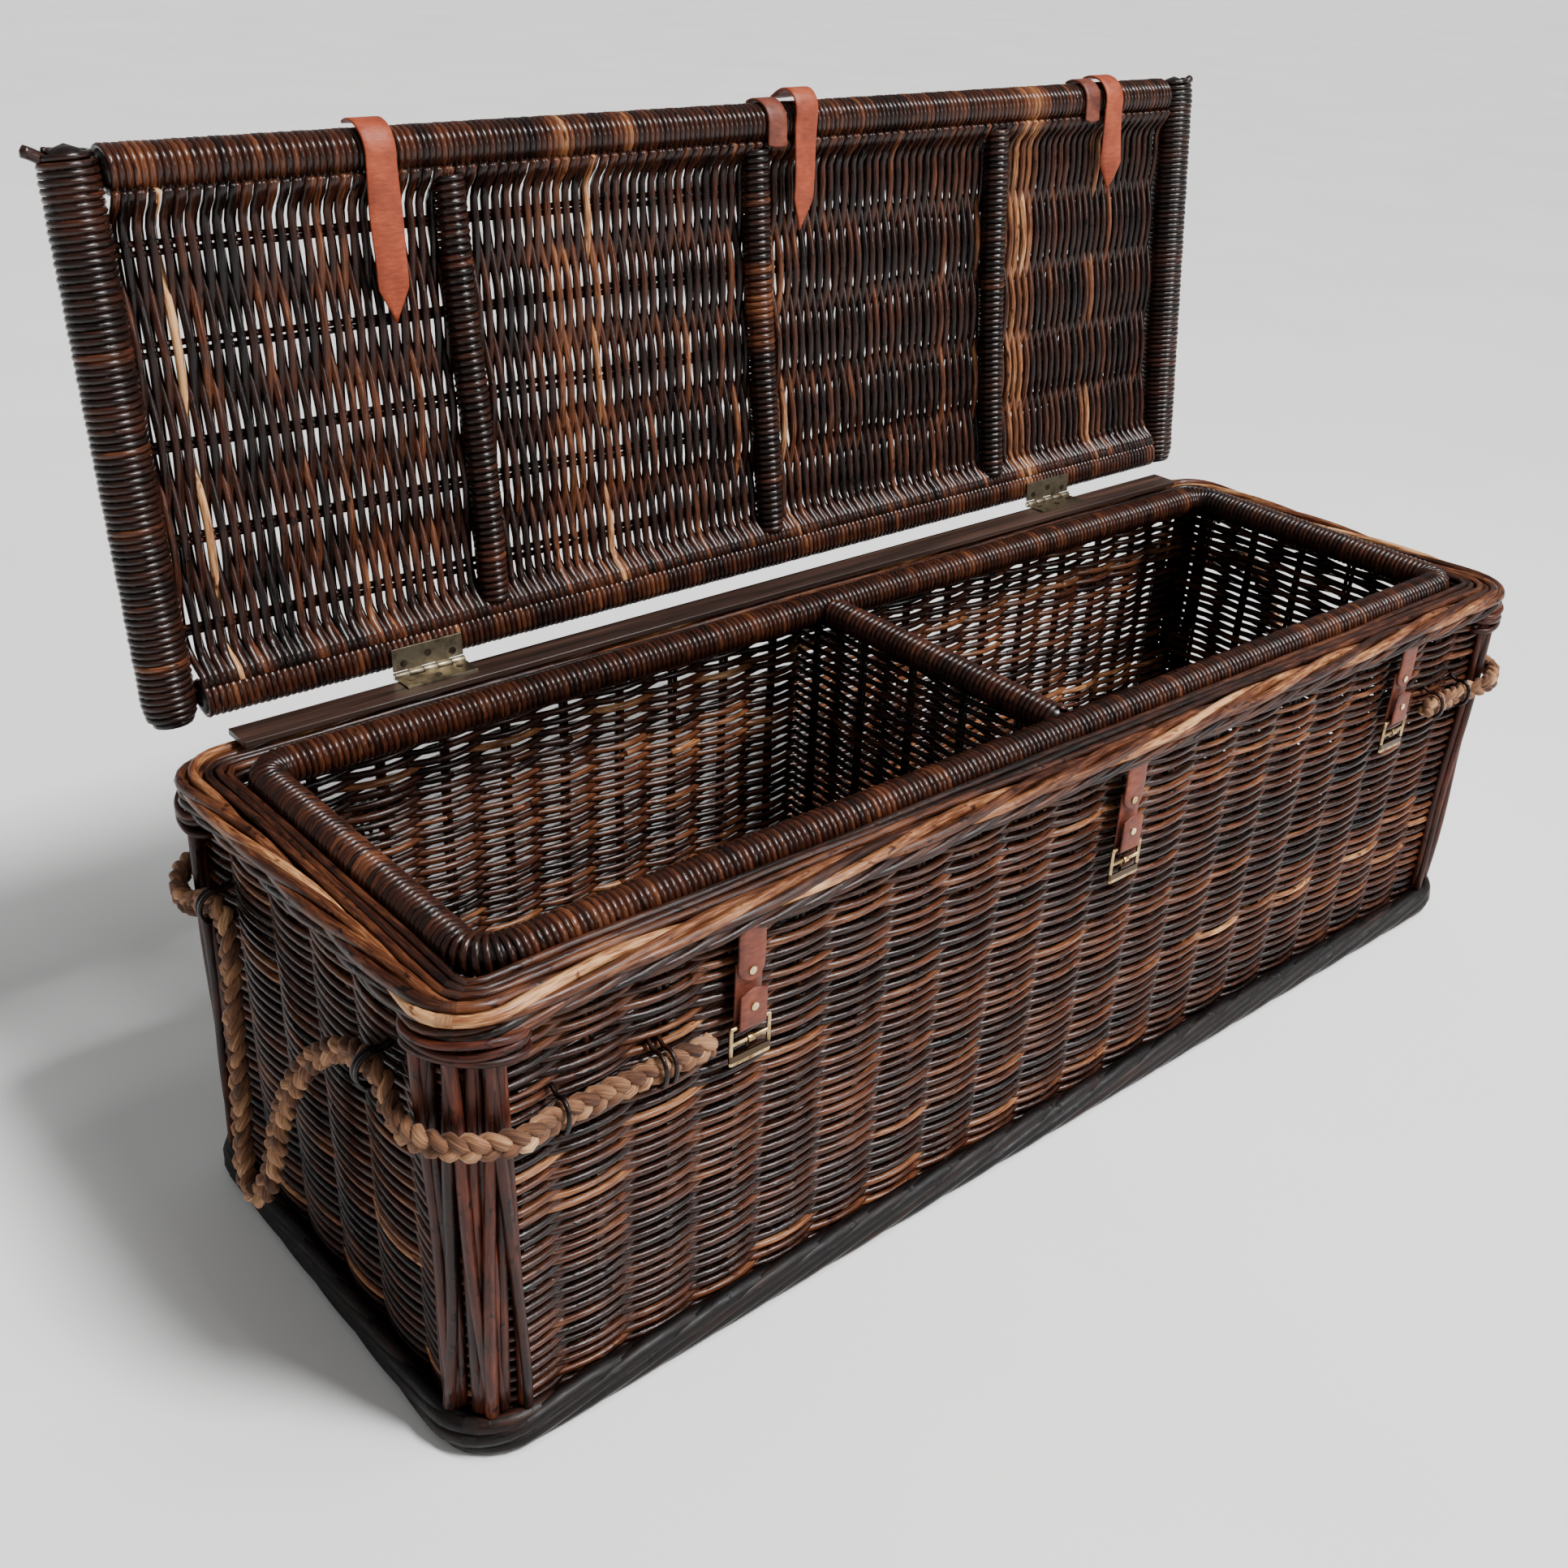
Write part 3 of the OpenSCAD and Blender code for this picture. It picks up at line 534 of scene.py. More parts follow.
def add_ties():
    rods = Rods()
    a = np.radians(np.linspace(-118, 118, 18))[:, None]
    for sx in (1, -1):
        for sy in (1, -1):
            short = sx < 0 and sy > 0
            for x in (475, 522) if short else (439.5, 447.5, 522):
                lean = mm([rng.uniform(-1.5, 1.5), 0, 0])
                shape = FRONT_TIE * (np.cos(a) * [0, -0.86, 0] + np.sin(a) * [0, 0, 1.1]) + np.sin(a) * lean
                tails, tone = ([0, 9, -1], [1, 9, 4]), rng.uniform(0.2, 0.5)
                tie(rods, [-x, -204, 271.3], shape, tails, [1, 0, 0], tone, (sx, sy))
            for shift in (-2.2, 2.2):
                shape = END_TIE * (np.cos(a) * [-0.98, 0, 0] + np.sin(a) * [0, 0, 1.06])
                tails, tone = ([9, 0, -1], [9, 0, 2]), rng.uniform(0.15, 0.4)
                tie(rods, [-601, -114.5 + shift, 290], shape, tails, [0, 1, 0], tone, (sx, sy))
    rods.make("willow_ties", "trunk", "willow_tie", TIES, "rope_ties")


add_ties()


# ---- woven walls ----


class Loop:
    """A rounded rectangle seen from above, from the middle of its front left corner anticlockwise."""

    def __init__(self, half_x, half_y, bend):
        cx, cy = half_x - bend, half_y - bend
        corners = [(-cx, -cy, 225, 270), (cx, -cy, 270, 360), (cx, cy, 0, 90)]
        corners += [(-cx, cy, 90, 180), (-cx, -cy, 180, 225)]
        p, n = [], []
        for x, y, a0, a1 in corners:
            a = np.radians(np.linspace(a0, a1, 2 + (a1 - a0) // 5))
            d = np.column_stack([np.cos(a), np.sin(a)])
            p.append(np.array([x, y]) + bend * d)
            n.append(d)
        self.p, self.n = np.vstack(p), np.vstack(n)
        self.s = lengths(self.p)
        self.length = self.s[-1]
        self.straight = (2 * cx, 2 * cy)
        self.quarter = bend * math.pi / 2

    def at(self, s):
        s = np.mod(s, self.length)
        both = np.hstack([self.p, self.n])
        out = np.stack([np.interp(s, self.s, both[:, k]) for k in range(4)], 1)
        return out[:, :2], unit(out[:, 2:])

    def side_start(self, i):
        """Where straight side i starts: front, right, back, left."""
        done = sum(self.straight[k % 2] for k in range(i))
        return self.quarter / 2 + done + i * self.quarter

    def line(self, z, step=0.012):
        """The closed line at height z, with its outward directions."""
        s = np.linspace(0, self.length, round(self.length / step), endpoint=False)
        p, n = self.at(s)
        flat = np.zeros((len(s), 1))
        return s, np.hstack([p, flat + z]), np.hstack([n, flat])


WALL_LOOP = Loop(WALL_X - WALL_T / 2, WALL_Y - WALL_T / 2, WALL_R - WALL_T / 2)
STAKE_EDGE = 0.006
STAKE_S = np.concatenate(
    [
        WALL_LOOP.side_start(i)
        + STAKE_EDGE
        + np.arange(count) * (WALL_LOOP.straight[i % 2] - 2 * STAKE_EDGE) / (count - 1)
        for i, count in enumerate((LONG_STAKES, SHORT_STAKES) * 2)
    ]
)
STAKE_COUNT = len(STAKE_S)
ROW_PITCH = 0.0047
ROW_FROM, ROW_TO = 0.004, 0.350
ROD_R = 0.0031
BULGE = 0.0048


def stake_index(s):
    """How many stakes lie before s, as a number that runs evenly between them."""
    length = WALL_LOOP.length
    places = np.concatenate([[STAKE_S[-1] - length], STAKE_S, [STAKE_S[0] + length]])
    return np.interp(np.mod(s, length), places, np.arange(-1, STAKE_COUNT + 1))


PRONG_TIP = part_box("buckle_prong_left")[0].z


def by_prong(x, z):
    """1 where a prong swings in towards the front wall, fading to 0 around it."""
    near = np.exp(-(((x[:, None] - BUCKLE_X) / 0.014) ** 2)).max(axis=1)
    return near * math.exp(-(((z - PRONG_TIP - 0.002) / 0.014) ** 2))


def patchy(row, s, seed):
    """A smooth value between about -1 and 1 over a wall, for patches of lighter and darker rods."""
    return (
        np.sin(row * 0.19 + s * 3.1 + seed)
        + np.sin(row * 0.47 - s * 5.3 + 2 * seed)
        + np.sin(row * 0.83 + s * 8.9 + 3 * seed)
    ) / 3


def add_wall(i, name):
    """Rows of rods woven in and out of the stakes, each made of rods that taper and meet behind a stake."""
    count = (LONG_STAKES, SHORT_STAKES)[i % 2]
    first = sum((LONG_STAKES, SHORT_STAKES)[k % 2] for k in range(i))
    start = WALL_LOOP.side_start(i) - WALL_LOOP.quarter / 2
    end = start + WALL_LOOP.straight[i % 2] + WALL_LOOP.quarter
    rods = Rods()
    rows = round((ROW_TO - ROW_FROM) / ROW_PITCH)
    for row in range(rows):
        z0 = ROW_FROM + (row + 0.5) * ROW_PITCH
        hidden = [k for k in range(first + 2, first + count - 2) if (k + row) % 2]
        cuts = sorted(rng.choice(hidden, min(len(hidden), 2 if count > 10 else 1), replace=False))
        if rng.random() < 0.35:
            cuts = cuts[:1] if count > 10 else []
        marks = [start, *STAKE_S[cuts], end]
        loose = 0.0003 + 0.0005 * (z0 > 0.27)
        for a, b in zip(marks[:-1], marks[1:]):
            a, b = (a - 0.004 if a > start else a), (b + 0.004 if b < end else b)
            s = np.linspace(a, b, max(6, round((b - a) / 0.0094)))
            p, n = WALL_LOOP.at(s)
            u = stake_index(s)
            swing = np.cos(math.pi * (u + row))
            off = BULGE * np.sign(swing) * np.abs(swing) ** 0.8
            if name == "front":
                off = off - 0.0016 * (off > 0) * by_prong(p[:, 0], z0)
            ph = rng.uniform(0, TAU, 3)
            z = z0 + loose * (np.sin(s * 21 + ph[0]) + 0.7 * np.sin(s * 53 + ph[1])) + 0.0004 * swing
            share = (s - a) / (b - a)
            full, loss = rng.uniform(1.0, 1.12), rng.uniform(0.05, 0.3)
            thick = ROD_R * (full - loss * (share if rng.random() < 0.5 else 1 - share))
            thick = thick * (1 - 0.11 * swing)
            tone = 0.47 + 0.16 * patchy(row, s, 1.7 * i + 0.4) + rng.normal(0, 0.07)
            tone = tone + 0.05 * np.sin(s * 9 + ph[2])
            if rng.random() < 0.07:
                tone = tone + rng.uniform(0.12, 0.25)
            line = np.column_stack([p + off[:, None] * n, z])
            rods.rod(line, thick, [0, 0, 1], np.clip(tone, 0.05, 0.95), 7)
    rods.make(f"woven_{name}_wall", "trunk", "woven", WOVEN, f"{name}_wall")
    rods = Rods()
    for k in range(first, first + count):
        z = np.linspace(0.003, WALL_TOP, 9)
        p, n = WALL_LOOP.at(np.full(9, STAKE_S[k]))
        along = np.column_stack([-n[:, 1], n[:, 0]])
        for half in (-1, 1):
            shift = half * 0.0024 + 0.0007 * np.sin(z * 40 + rng.uniform(0, TAU))
            line = np.column_stack([p + shift[:, None] * along, z])
            rods.rod(line, 0.0024, np.append(n[0], 0), rng.uniform(0.25, 0.6), 7)
    rods.make(f"{name}_stake_pairs", "trunk", "stakes", STAKES, f"{name}_wall_stakes")


for i, name in enumerate(("front", "right", "back", "left")):
    add_wall(i, name)


# ---- base, foot and corners ----


BASE_MID, FOOT_Z = 0.0062, 0.0166
STICK_FROM, STICK_TO = 0.0335, 0.3465


def add_base():
    rods = Rods()
    lo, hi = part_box("base_panel")
    rows = 70
    stakes = np.linspace(lo.x + 0.03, hi.x - 0.03, 20)
    xs = np.linspace(lo.x + 0.006, hi.x - 0.006, 78)
    u = np.interp(xs, stakes, np.arange(20))
    for row in range(rows):
        y = lo.y + 0.005 + (row + 0.5) * (hi.y - lo.y - 0.01) / rows
        z = BASE_MID + 0.0030 * np.cos(math.pi * (u + row))
        p = np.column_stack([xs, np.full(len(xs), y), z])
        rods.rod(p, 0.0026, [0, 1, 0], rng.uniform(0.2, 0.55), 5)
    for x in stakes:
        line = [[x, y, BASE_MID] for y in (lo.y + 0.004, 0, hi.y - 0.004)]
        rods.rod(line, 0.003, [0, 0, 1], 0.3)
    rods.make("woven_base", "trunk", "woven", WOVEN, "base_panel")


def twisted(rods, loop, z, wide, tall, r, pitch, tones, phase0=0.0):
    """Rods twisted round each other along a loop, one for each tone."""
    s, p, n = loop.line(z, 0.009)
    turns = round(loop.length / pitch)
    for k, tone in enumerate(tones):
        a = turns * TAU * s / loop.length + TAU * k / len(tones) + phase0
        a = a + 0.25 * np.sin(3 * TAU * s / loop.length + k)
        line = p + wide * np.cos(a)[:, None] * n
        line[:, 2] += tall * np.sin(a)
        shade = tone + 0.08 * np.sin(s * 11 + 2 * k) + 0.05 * np.sin(s * 29 + k)
        width = r * (1 + 0.05 * np.sin(s * 17 + k))
        rods.rod(line, width, [0, 0, 1], shade, 8, closed=True)


def add_foot():
    rods = Rods()
    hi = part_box("foot_border")[1]
    tones = (0.3, 0.42, 0.26, 0.36, 0.3, 0.4)
    twisted(rods, Loop(hi.x - 0.0097, hi.y - 0.0097, 0.043), FOOT_Z, 0.0030, 0.0094, 0.0068, 0.34, tones)
    _, p, n = Loop(hi.x - 0.0115, hi.y - 0.0115, 0.0415).line(FOOT_Z)
    rods.rod(p, 0.013, n, 0.15, 8, 0.5, closed=True)
    rods.make("foot_band", "trunk", "foot", FOOT, "foot_border")


def add_corner(sx, sy, name):
    """Long sticks that lean across each other round a corner."""
    rods = Rods()
    z = np.linspace(STICK_FROM, STICK_TO, 14)
    share = (z - z[0]) / (z[-1] - z[0])
    plans = [(0.0362, np.linspace(2, 88, 8), 12, 0.0040), (0.0404, np.linspace(8, 82, 5), 24, 0.0044)]
    for layer, (radius, angles, lean, r) in enumerate(plans):
        for k, a0 in enumerate(angles):
            way = (-1) ** (k + layer) * lean * rng.uniform(0.6, 1.1)
            a = np.clip(a0 + way * (share - 0.5), -2, 92) + 1.2 * np.sin(share * 7 + rng.uniform(0, TAU))
            a = np.radians(a)
            away = radius + 0.0012 * np.sin(share * 9 + k * 2.0)
            p = np.column_stack([sx * (CORNER_X + away * np.cos(a)), sy * (CORNER_Y + away * np.sin(a)), z])
            taper = 1.12 - 0.3 * share if k % 2 else 0.85 + 0.25 * share
            n = np.column_stack([sx * np.cos(a), sy * np.sin(a), 0 * z])
            tone = rng.uniform(0.36, 0.6) + 0.06 * np.sin(share * 8 + k)
            rods.rod(p, r * taper, n, tone, 8)
    rods.make(f"{name}_sticks", "trunk", "corner_sticks", STICKS, f"corner_sticks_{name}")


def add_collars():
    rods = Rods()
    a = np.radians(np.linspace(-24, 114, 26))
    edge = np.clip((np.abs(np.degrees(a) - 45) - 48) / 21, 0, 1)
    for sx in (-1, 1):
        for sy in (-1, 1):
            for k, z0 in enumerate((0.3325, 0.3385, 0.3445)):
                away = 0.0468 - 0.011 * edge**2
                x = sx * (CORNER_X + away * np.cos(a))
                y = sy * (CORNER_Y + away * np.sin(a))
                z = z0 + 0.0018 * np.sin(a * 3 + k * 2.2) + 0.002 * (k - 1) * edge
                n = np.column_stack([sx * np.cos(a), sy * np.sin(a), 0 * a])
                rods.rod(np.column_stack([x, y, z]), 0.0029, n, 0.42 + 0.07 * k, 8)
    rods.make("corner_wale", "trunk", "corner_sticks", STICKS, "corner_collars")


add_base()
add_foot()
for sx, sx_name in ((-1, "left"), (1, "right")):
    for sy, sy_name in ((-1, "front"), (1, "back")):
        add_corner(sx, sy, f"{sy_name}_{sx_name}")
add_collars()


# ---- rim ----


def streaky(base, spread, light=0.0, light_share=0.0, seed=0.0):
    """Tones for the turns of a wrapping: slow drifts, turn by turn noise, and some light turns."""

    def tones(share):
        drift = np.sin(share * 23 + seed) + np.sin(share * 61 + 2 * seed)
        out = base + 0.5 * spread * drift + rng.normal(0, spread, len(share))
        out = out + light * (rng.random(len(share)) < light_share)
        return np.clip(out, 0.03, 0.97)

    return tones


ROLL_Z = 0.363
COIL_PITCH = 0.0051


def inset_loop(inset):
    return Loop(HALF_X - inset, HALF_Y - inset, RIM_R - inset)


def add_rim():
    rods = Rods()
    twisted(rods, inset_loop(0.0112), 0.3602, 0.0068, 0.0036, 0.0041, 0.30, (0.84, 0.52, 0.7, 0.6))
    twisted(rods, inset_loop(0.0060), 0.3502, 0.0024, 0.0030, 0.0029, 0.11, (0.4, 0.5, 0.35), phase0=1.0)
    rods.make("twisted_border", "trunk", "rim_rods", RIM, "rim_outer_border")
    rods = Rods()
    for k, inset in enumerate((0.0250, 0.0314, 0.0378)):
        s, p, n = inset_loop(inset).line(0.3632)
        p = p + (0.0008 * np.sin(s * 13 + 2 * k) + 0.0004 * np.sin(s * 41 + k))[:, None] * n
        p[:, 2] += 0.0008 * np.sin(s * 19 + 3 * k)
        tone = (0.5, 0.38, 0.44)[k] + 0.1 * np.sin(s * 7 + k) + 0.05 * np.sin(s * 23)
        rods.rod(p, 0.00315, n, tone, 8, closed=True)
    for inset, z in ((0.0215, 0.357), (0.028, 0.3575), (0.0345, 0.3575), (0.041, 0.358)):
        _, p, n = inset_loop(inset).line(z)
        rods.rod(p, 0.0032, n, 0.25, 6, closed=True)
    rods.make("flat_border", "trunk", "flat_rods", FLAT, "rim_flat_border")
    rods = Rods()
    _, p, n = Loop(HALF_X - 0.056, HALF_Y - 0.056, 0.022).line(ROLL_Z, 0.006)
    tones = streaky(0.46, 0.06, 0.2, 0.04)
    rods.wrapped(p, n, 0.0118, 0.0125, COIL_PITCH, 0.0027, tones, 12, closed=True)
    rods.make("wrapped_rim", "trunk", "wrapped_roll", WRAPPED, "rim_roll")


def add_divider():
    lo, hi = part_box("divider_panel")
    stakes = np.linspace(-0.155, 0.155, 6)
    ys = np.linspace(lo.y + 0.001, hi.y - 0.001, 38)
    u = np.interp(ys, stakes, np.arange(6))
    u = u + (ys - np.clip(ys, stakes[0], stakes[-1])) / 0.062
    rows = 70
    rods = Rods()
    for row in range(rows):
        z = lo.z + (row + 0.5) * (hi.z - lo.z) / rows + 0.0004 * np.sin(ys * 40 + row)
        x = 0.0050 * np.cos(math.pi * (u + row))
        r, tone = rng.uniform(0.0024, 0.0028), rng.normal(0.36, 0.12)
        rods.rod(np.column_stack([x, ys, z]), r, [0, 0, 1], np.clip(tone, 0.05, 0.9))
    rods.make("woven_divider", "trunk", "woven", WOVEN, "divider_panel")
    rods = Rods()
    for y in stakes:
        for half in (-1, 1):
            bow = ((0.0022, 0.0125), (0.0026, 0.18), (0.0022, 0.3474))
            rods.rod([[0, y + half * off, z] for off, z in bow], 0.0022, [1, 0, 0], 0.35)
    rods.make("divider_stake_pairs", "trunk", "stakes", STAKES, "divider_stakes")
    rods = Rods()
    lo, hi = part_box("divider_roll")
    ys = np.linspace(lo.y + 0.001, hi.y - 0.001, 60)
    line = np.column_stack([np.zeros(60), ys, np.full(60, ROLL_Z)])
    up = np.tile([0.0, 0, 1], (60, 1))
    rods.wrapped(line, up, 0.0108, 0.0114, 0.0055, 0.0029, streaky(0.46, 0.05, seed=2.0), 12)
    rods.make("wrapped_divider", "trunk", "wrapped_roll", WRAPPED, "divider_roll")


add_rim()
add_divider()


# ---- lid ----


def on_lid(x, u, w):
    """Points of the open lid: u runs from the hinge pin to the front edge, w through the thickness."""
    x, u, w = np.broadcast_arrays(x, u, np.asarray(w, float) + LID_FACE)
    y = PIN_Y + u * math.sin(LEAN) + w * math.cos(LEAN)
    z = PIN_Z + u * math.cos(LEAN) - w * math.sin(LEAN)
    return np.column_stack([x, y, z])


THROUGH_LID = np.array([0, math.cos(LEAN), -math.sin(LEAN)])
LID_EDGE, LID_MID, LID_ROW_PITCH = 0.5487, 0.026, 0.067
PANEL_U0, PANEL_U1 = 0.0338, 0.3687
LID_ROWS = PANEL_U0 + (np.arange(5) + 0.5) * (PANEL_U1 - PANEL_U0) / 5
LID_STRANDS = 236
ROLL_U, ROLL_W = 0.387, 0.021


def lid_depth(p):
    """How far points lie from the lid's hinge face, through its thickness."""
    return (p - np.array([0, PIN_Y, PIN_Z])) @ THROUGH_LID - LID_FACE


def lid_tone(x):
    """Bands of lighter strands across the lid."""
    tone = 0.42 + 0.05 * np.sin(x * 31) + 0.04 * np.sin(x * 83)
    tone += 0.34 * math.exp(-(((x - 0.345) / 0.020) ** 2))
    tone += 0.16 * math.exp(-(((x + 0.195) / 0.016) ** 2))
    return tone


def add_lid_weave():
    rods = Rods()
    edge = LID_EDGE - 0.0025
    spacing = 2 * edge / (LID_STRANDS - 1)
    for j in range(LID_STRANDS):
        x0 = -edge + j * spacing
        u = np.linspace(PANEL_U0 - 0.006, PANEL_U1 + 0.004, 44)
        index = np.interp(u, LID_ROWS, np.arange(5.0))
        index += (u - np.clip(u, LID_ROWS[0], LID_ROWS[-1])) / LID_ROW_PITCH
        swing = np.cos(math.pi * (index + j))
        top = np.clip((u - 0.344) / (PANEL_U1 - 0.344), 0, 1)
        low = np.clip((0.058 - u) / (0.058 - PANEL_U0), 0, 1)
        w = LID_MID + 0.0047 * swing
        w = w * (1 - top**2) + 0.0075 * top**2
        w = w * (1 - low**2) + 0.005 * low**2
        ph = rng.uniform(0, TAU, 2)
        x = x0 + 0.0004 * np.sin(u * 33 + ph[0]) + 0.0003 * np.sin(u * 81 + ph[1])
        x = x + rng.uniform(-0.0006, 0.0006) * np.sin(u * 9 + ph[0])
        x = x + (0.25 if j % 2 else -0.25) * spacing * top
        x = np.clip(x, -LID_EDGE + 0.002, LID_EDGE - 0.002)
        tone = lid_tone(x0) + rng.normal(0, 0.08)
        if rng.random() < 0.04 or (abs(x0 + 0.44) < 0.09 and rng.random() < 0.10):
            tone += rng.uniform(0.2, 0.4)
        share = np.linspace(0, 1, len(u))
        r = 0.0029 * (rng.uniform(0.98, 1.08) - rng.uniform(0.0, 0.14) * (share if j % 2 else 1 - share))
        shade = np.clip(tone + 0.05 * np.sin(u * 25 + ph[1]), 0.05, 0.97)
        rods.rod(on_lid(x, u, w), r, [1, 0, 0], shade, 7, 1.14)
    rods.make("woven_lid", "lid", "woven", WOVEN, "lid_panel")
    rods = Rods()
    for u in LID_ROWS:
        for half in (-1, 1):
            x = np.linspace(-LID_EDGE, LID_EDGE, 60)
            bow = u + half * 0.0026 + 0.0008 * np.sin(x * 12 + rng.uniform(0, TAU))
            rods.rod(on_lid(x, bow, LID_MID), 0.0025, THROUGH_LID, rng.uniform(0.3, 0.6), 6)
    rods.make("lid_stake_pairs", "lid", "stakes", STAKES, "lid_stakes")


def add_lid_rolls():
    rods = Rods()
    x = np.linspace(-LID_EDGE, LID_EDGE, 160)
    up = np.tile(THROUGH_LID, (160, 1))
    line = on_lid(x, ROLL_U, ROLL_W)

    def tones(share):
        out = np.array([lid_tone(v) for v in (share * 2 - 1) * LID_EDGE])
        return np.clip(out + 0.06 + rng.normal(0, 0.1, len(share)), 0.05, 0.95)

    rods.wrapped(line, up, 0.0138, 0.0152, COIL_PITCH, 0.0027, tones, 14)
    rods.make("wrapped_front_roll", "lid", "wrapped_roll", WRAPPED, "lid_front_roll")
    rods = Rods()
    line = on_lid(x, 0.0175, 0.0142)

    def flat_below(p):
        """Keeps the winding on the lid's side of its hinge face."""
        return p + np.maximum(0.0026 - lid_depth(p), 0)[:, None] * THROUGH_LID

    rods.wrapped(line, up, 0.0112, 0.0133, COIL_PITCH, 0.0026, tones, 14, bound=flat_below)
    rods.make("wrapped_back_roll", "lid", "wrapped_roll", WRAPPED, "lid_back_roll")
    for side, name in ((-1, "left"), (1, "right")):
        rods = Rods()
        u = np.linspace(0.0040, 0.4010, 70)
        line = on_lid(side * 0.570, u, ROLL_W)
        out = np.tile([float(side), 0, 0], (70, 1))
        ends = ([0, 0.012, 0.03, 0.97, 0.988, 1], [0.0130, 0.0165, 0.0184, 0.0184, 0.0165, 0.0130])
        core = np.interp(np.linspace(0, 1, 70), *ends) - 0.0018
        tones = streaky(0.34, 0.05, 0.3, 0.04, side)
        rods.wrapped(line, out, core, ends, 0.00505, 0.00262, tones, 16, 12)
        tip_x, tip_u = np.array([[0.574, 0.583, 0.591, 0.597], [0.386, 0.394, 0.399, 0.4015]])
        tip = on_lid(side * tip_x, tip_u, ROLL_W)
        rods.rod(smooth_path(tip, 0.003), 0.0042, THROUGH_LID, 0.35, 8)
        rods.make(f"wrapped_side_{name}", "lid", "wrapped_roll", WRAPPED, f"lid_side_roll_{name}")


def add_ribs():
    rods = Rods()

    def under_weave(p):
        """Keeps the winding on the inner side of the weave."""
        return p - np.maximum(lid_depth(p) - 0.0195, 0)[:, None] * THROUGH_LID

    u = np.linspace(PANEL_U0 + 0.002, PANEL_U1 - 0.002, 50)
    out = np.tile([1.0, 0, 0], (50, 1))
    for k, x in enumerate((-0.295, 0.0, 0.295)):
        line = on_lid(x + 0.002 * np.sin(u * 14 + k), u, 0.0138)
        plain = streaky(0.34, 0.05, 0.3, 0.03, k)

        def tones(share, k=k, plain=plain):
            out = plain(share)
            if k == 1:
                out = out + 0.30 * np.exp(-(((share - 0.62) / 0.11) ** 2))
            return out

        rods.wrapped(line, out, 0.0092, 0.0110, 0.0056, 0.0029, tones, 14, 8, bound=under_weave)
    rods.make("wrapped_ribs", "lid", "wrapped_roll", WRAPPED, "lid_ribs")


add_lid_weave()
add_lid_rolls()
add_ribs()


# ---- leather ----

STRAP_X = (-0.357, 0.045, 0.450)
ANCHOR_X = (0.015, 0.421)
STRAP_CENTRE = on_lid(0.0, ROLL_U, ROLL_W)[0]
TAILS = (0.118, 0.086, 0.082)


def strap_line(radius, tail, lean=0.0):
    """Points in y and z of a band bent round the lid's front roll, with its hanging tail."""
    a = np.radians(np.linspace(60, 180, 22)) - lean
    y, z = radius * np.cos(a), radius * np.sin(a)
    t = np.linspace(0, tail, 20)[1:]
    y = np.append(y, y[-1] - t * math.sin(lean))
    z = np.append(z, z[-1] - t * math.cos(lean))
    return np.column_stack([0 * y, y, z])


def add_straps():
    for k, name in enumerate(THIRDS):
        p = strap_line(0.0223, TAILS[k])
        s = lengths(p)
        tail = np.clip((s - s[-1] + TAILS[k]) / TAILS[k], 0, 1)
        if k == 1:
            p[:, 1:] *= (1 + 0.34 * np.sin(np.clip(s / 0.047, 0, 1) * math.pi) ** 2)[:, None]
        p[:, 1] += (-0.0035, -0.0045, -0.003)[k] * np.sin(tail * math.pi) * tail
        p[:, 0] += (0.004, -0.003, 0.005)[k] * tail**2
        turn = np.radians((10, -16, 32)[k]) * tail**1.5 + np.radians((3, -6, -4)[k]) * np.sin(tail * 5)
        across = np.column_stack([np.cos(turn), -np.sin(turn), 0 * turn])
        left = s[-1] - s
        half = 0.0125 * np.clip(left / 0.026, 0.06, 1) * (1 + 0.03 * np.sin(s * 90 + k))
        rods = Rods()
        rods.band(p + STRAP_CENTRE + [STRAP_X[k], 0, 0], across, half, 0.0022, 0.5)
        rods.make(f"leather_strap_{name}", f"strap_{name}", "strap_leather", STRAP_LEATHER, f"strap_{name}")
    rods = Rods()
    for k, x in enumerate(ANCHOR_X):
        p = strap_line(0.0196, 0.017, LEAN)
        p[:, 0] += 0.001 * np.sin(lengths(p) * 60 + k)
        rods.band(p + STRAP_CENTRE + [x, 0, 0], [1, 0, 0], 0.0100, 0.0024, 0.5)
    rods.make("leather_anchors", "lid", "strap_leather", TAB_LEATHER, "strap_anchors")


TAB_Y, TAB_TOP, TAB_END, TAB_HALF = -0.202, 0.3475, 0.308, 0.0115
BAR_Z = 0.274


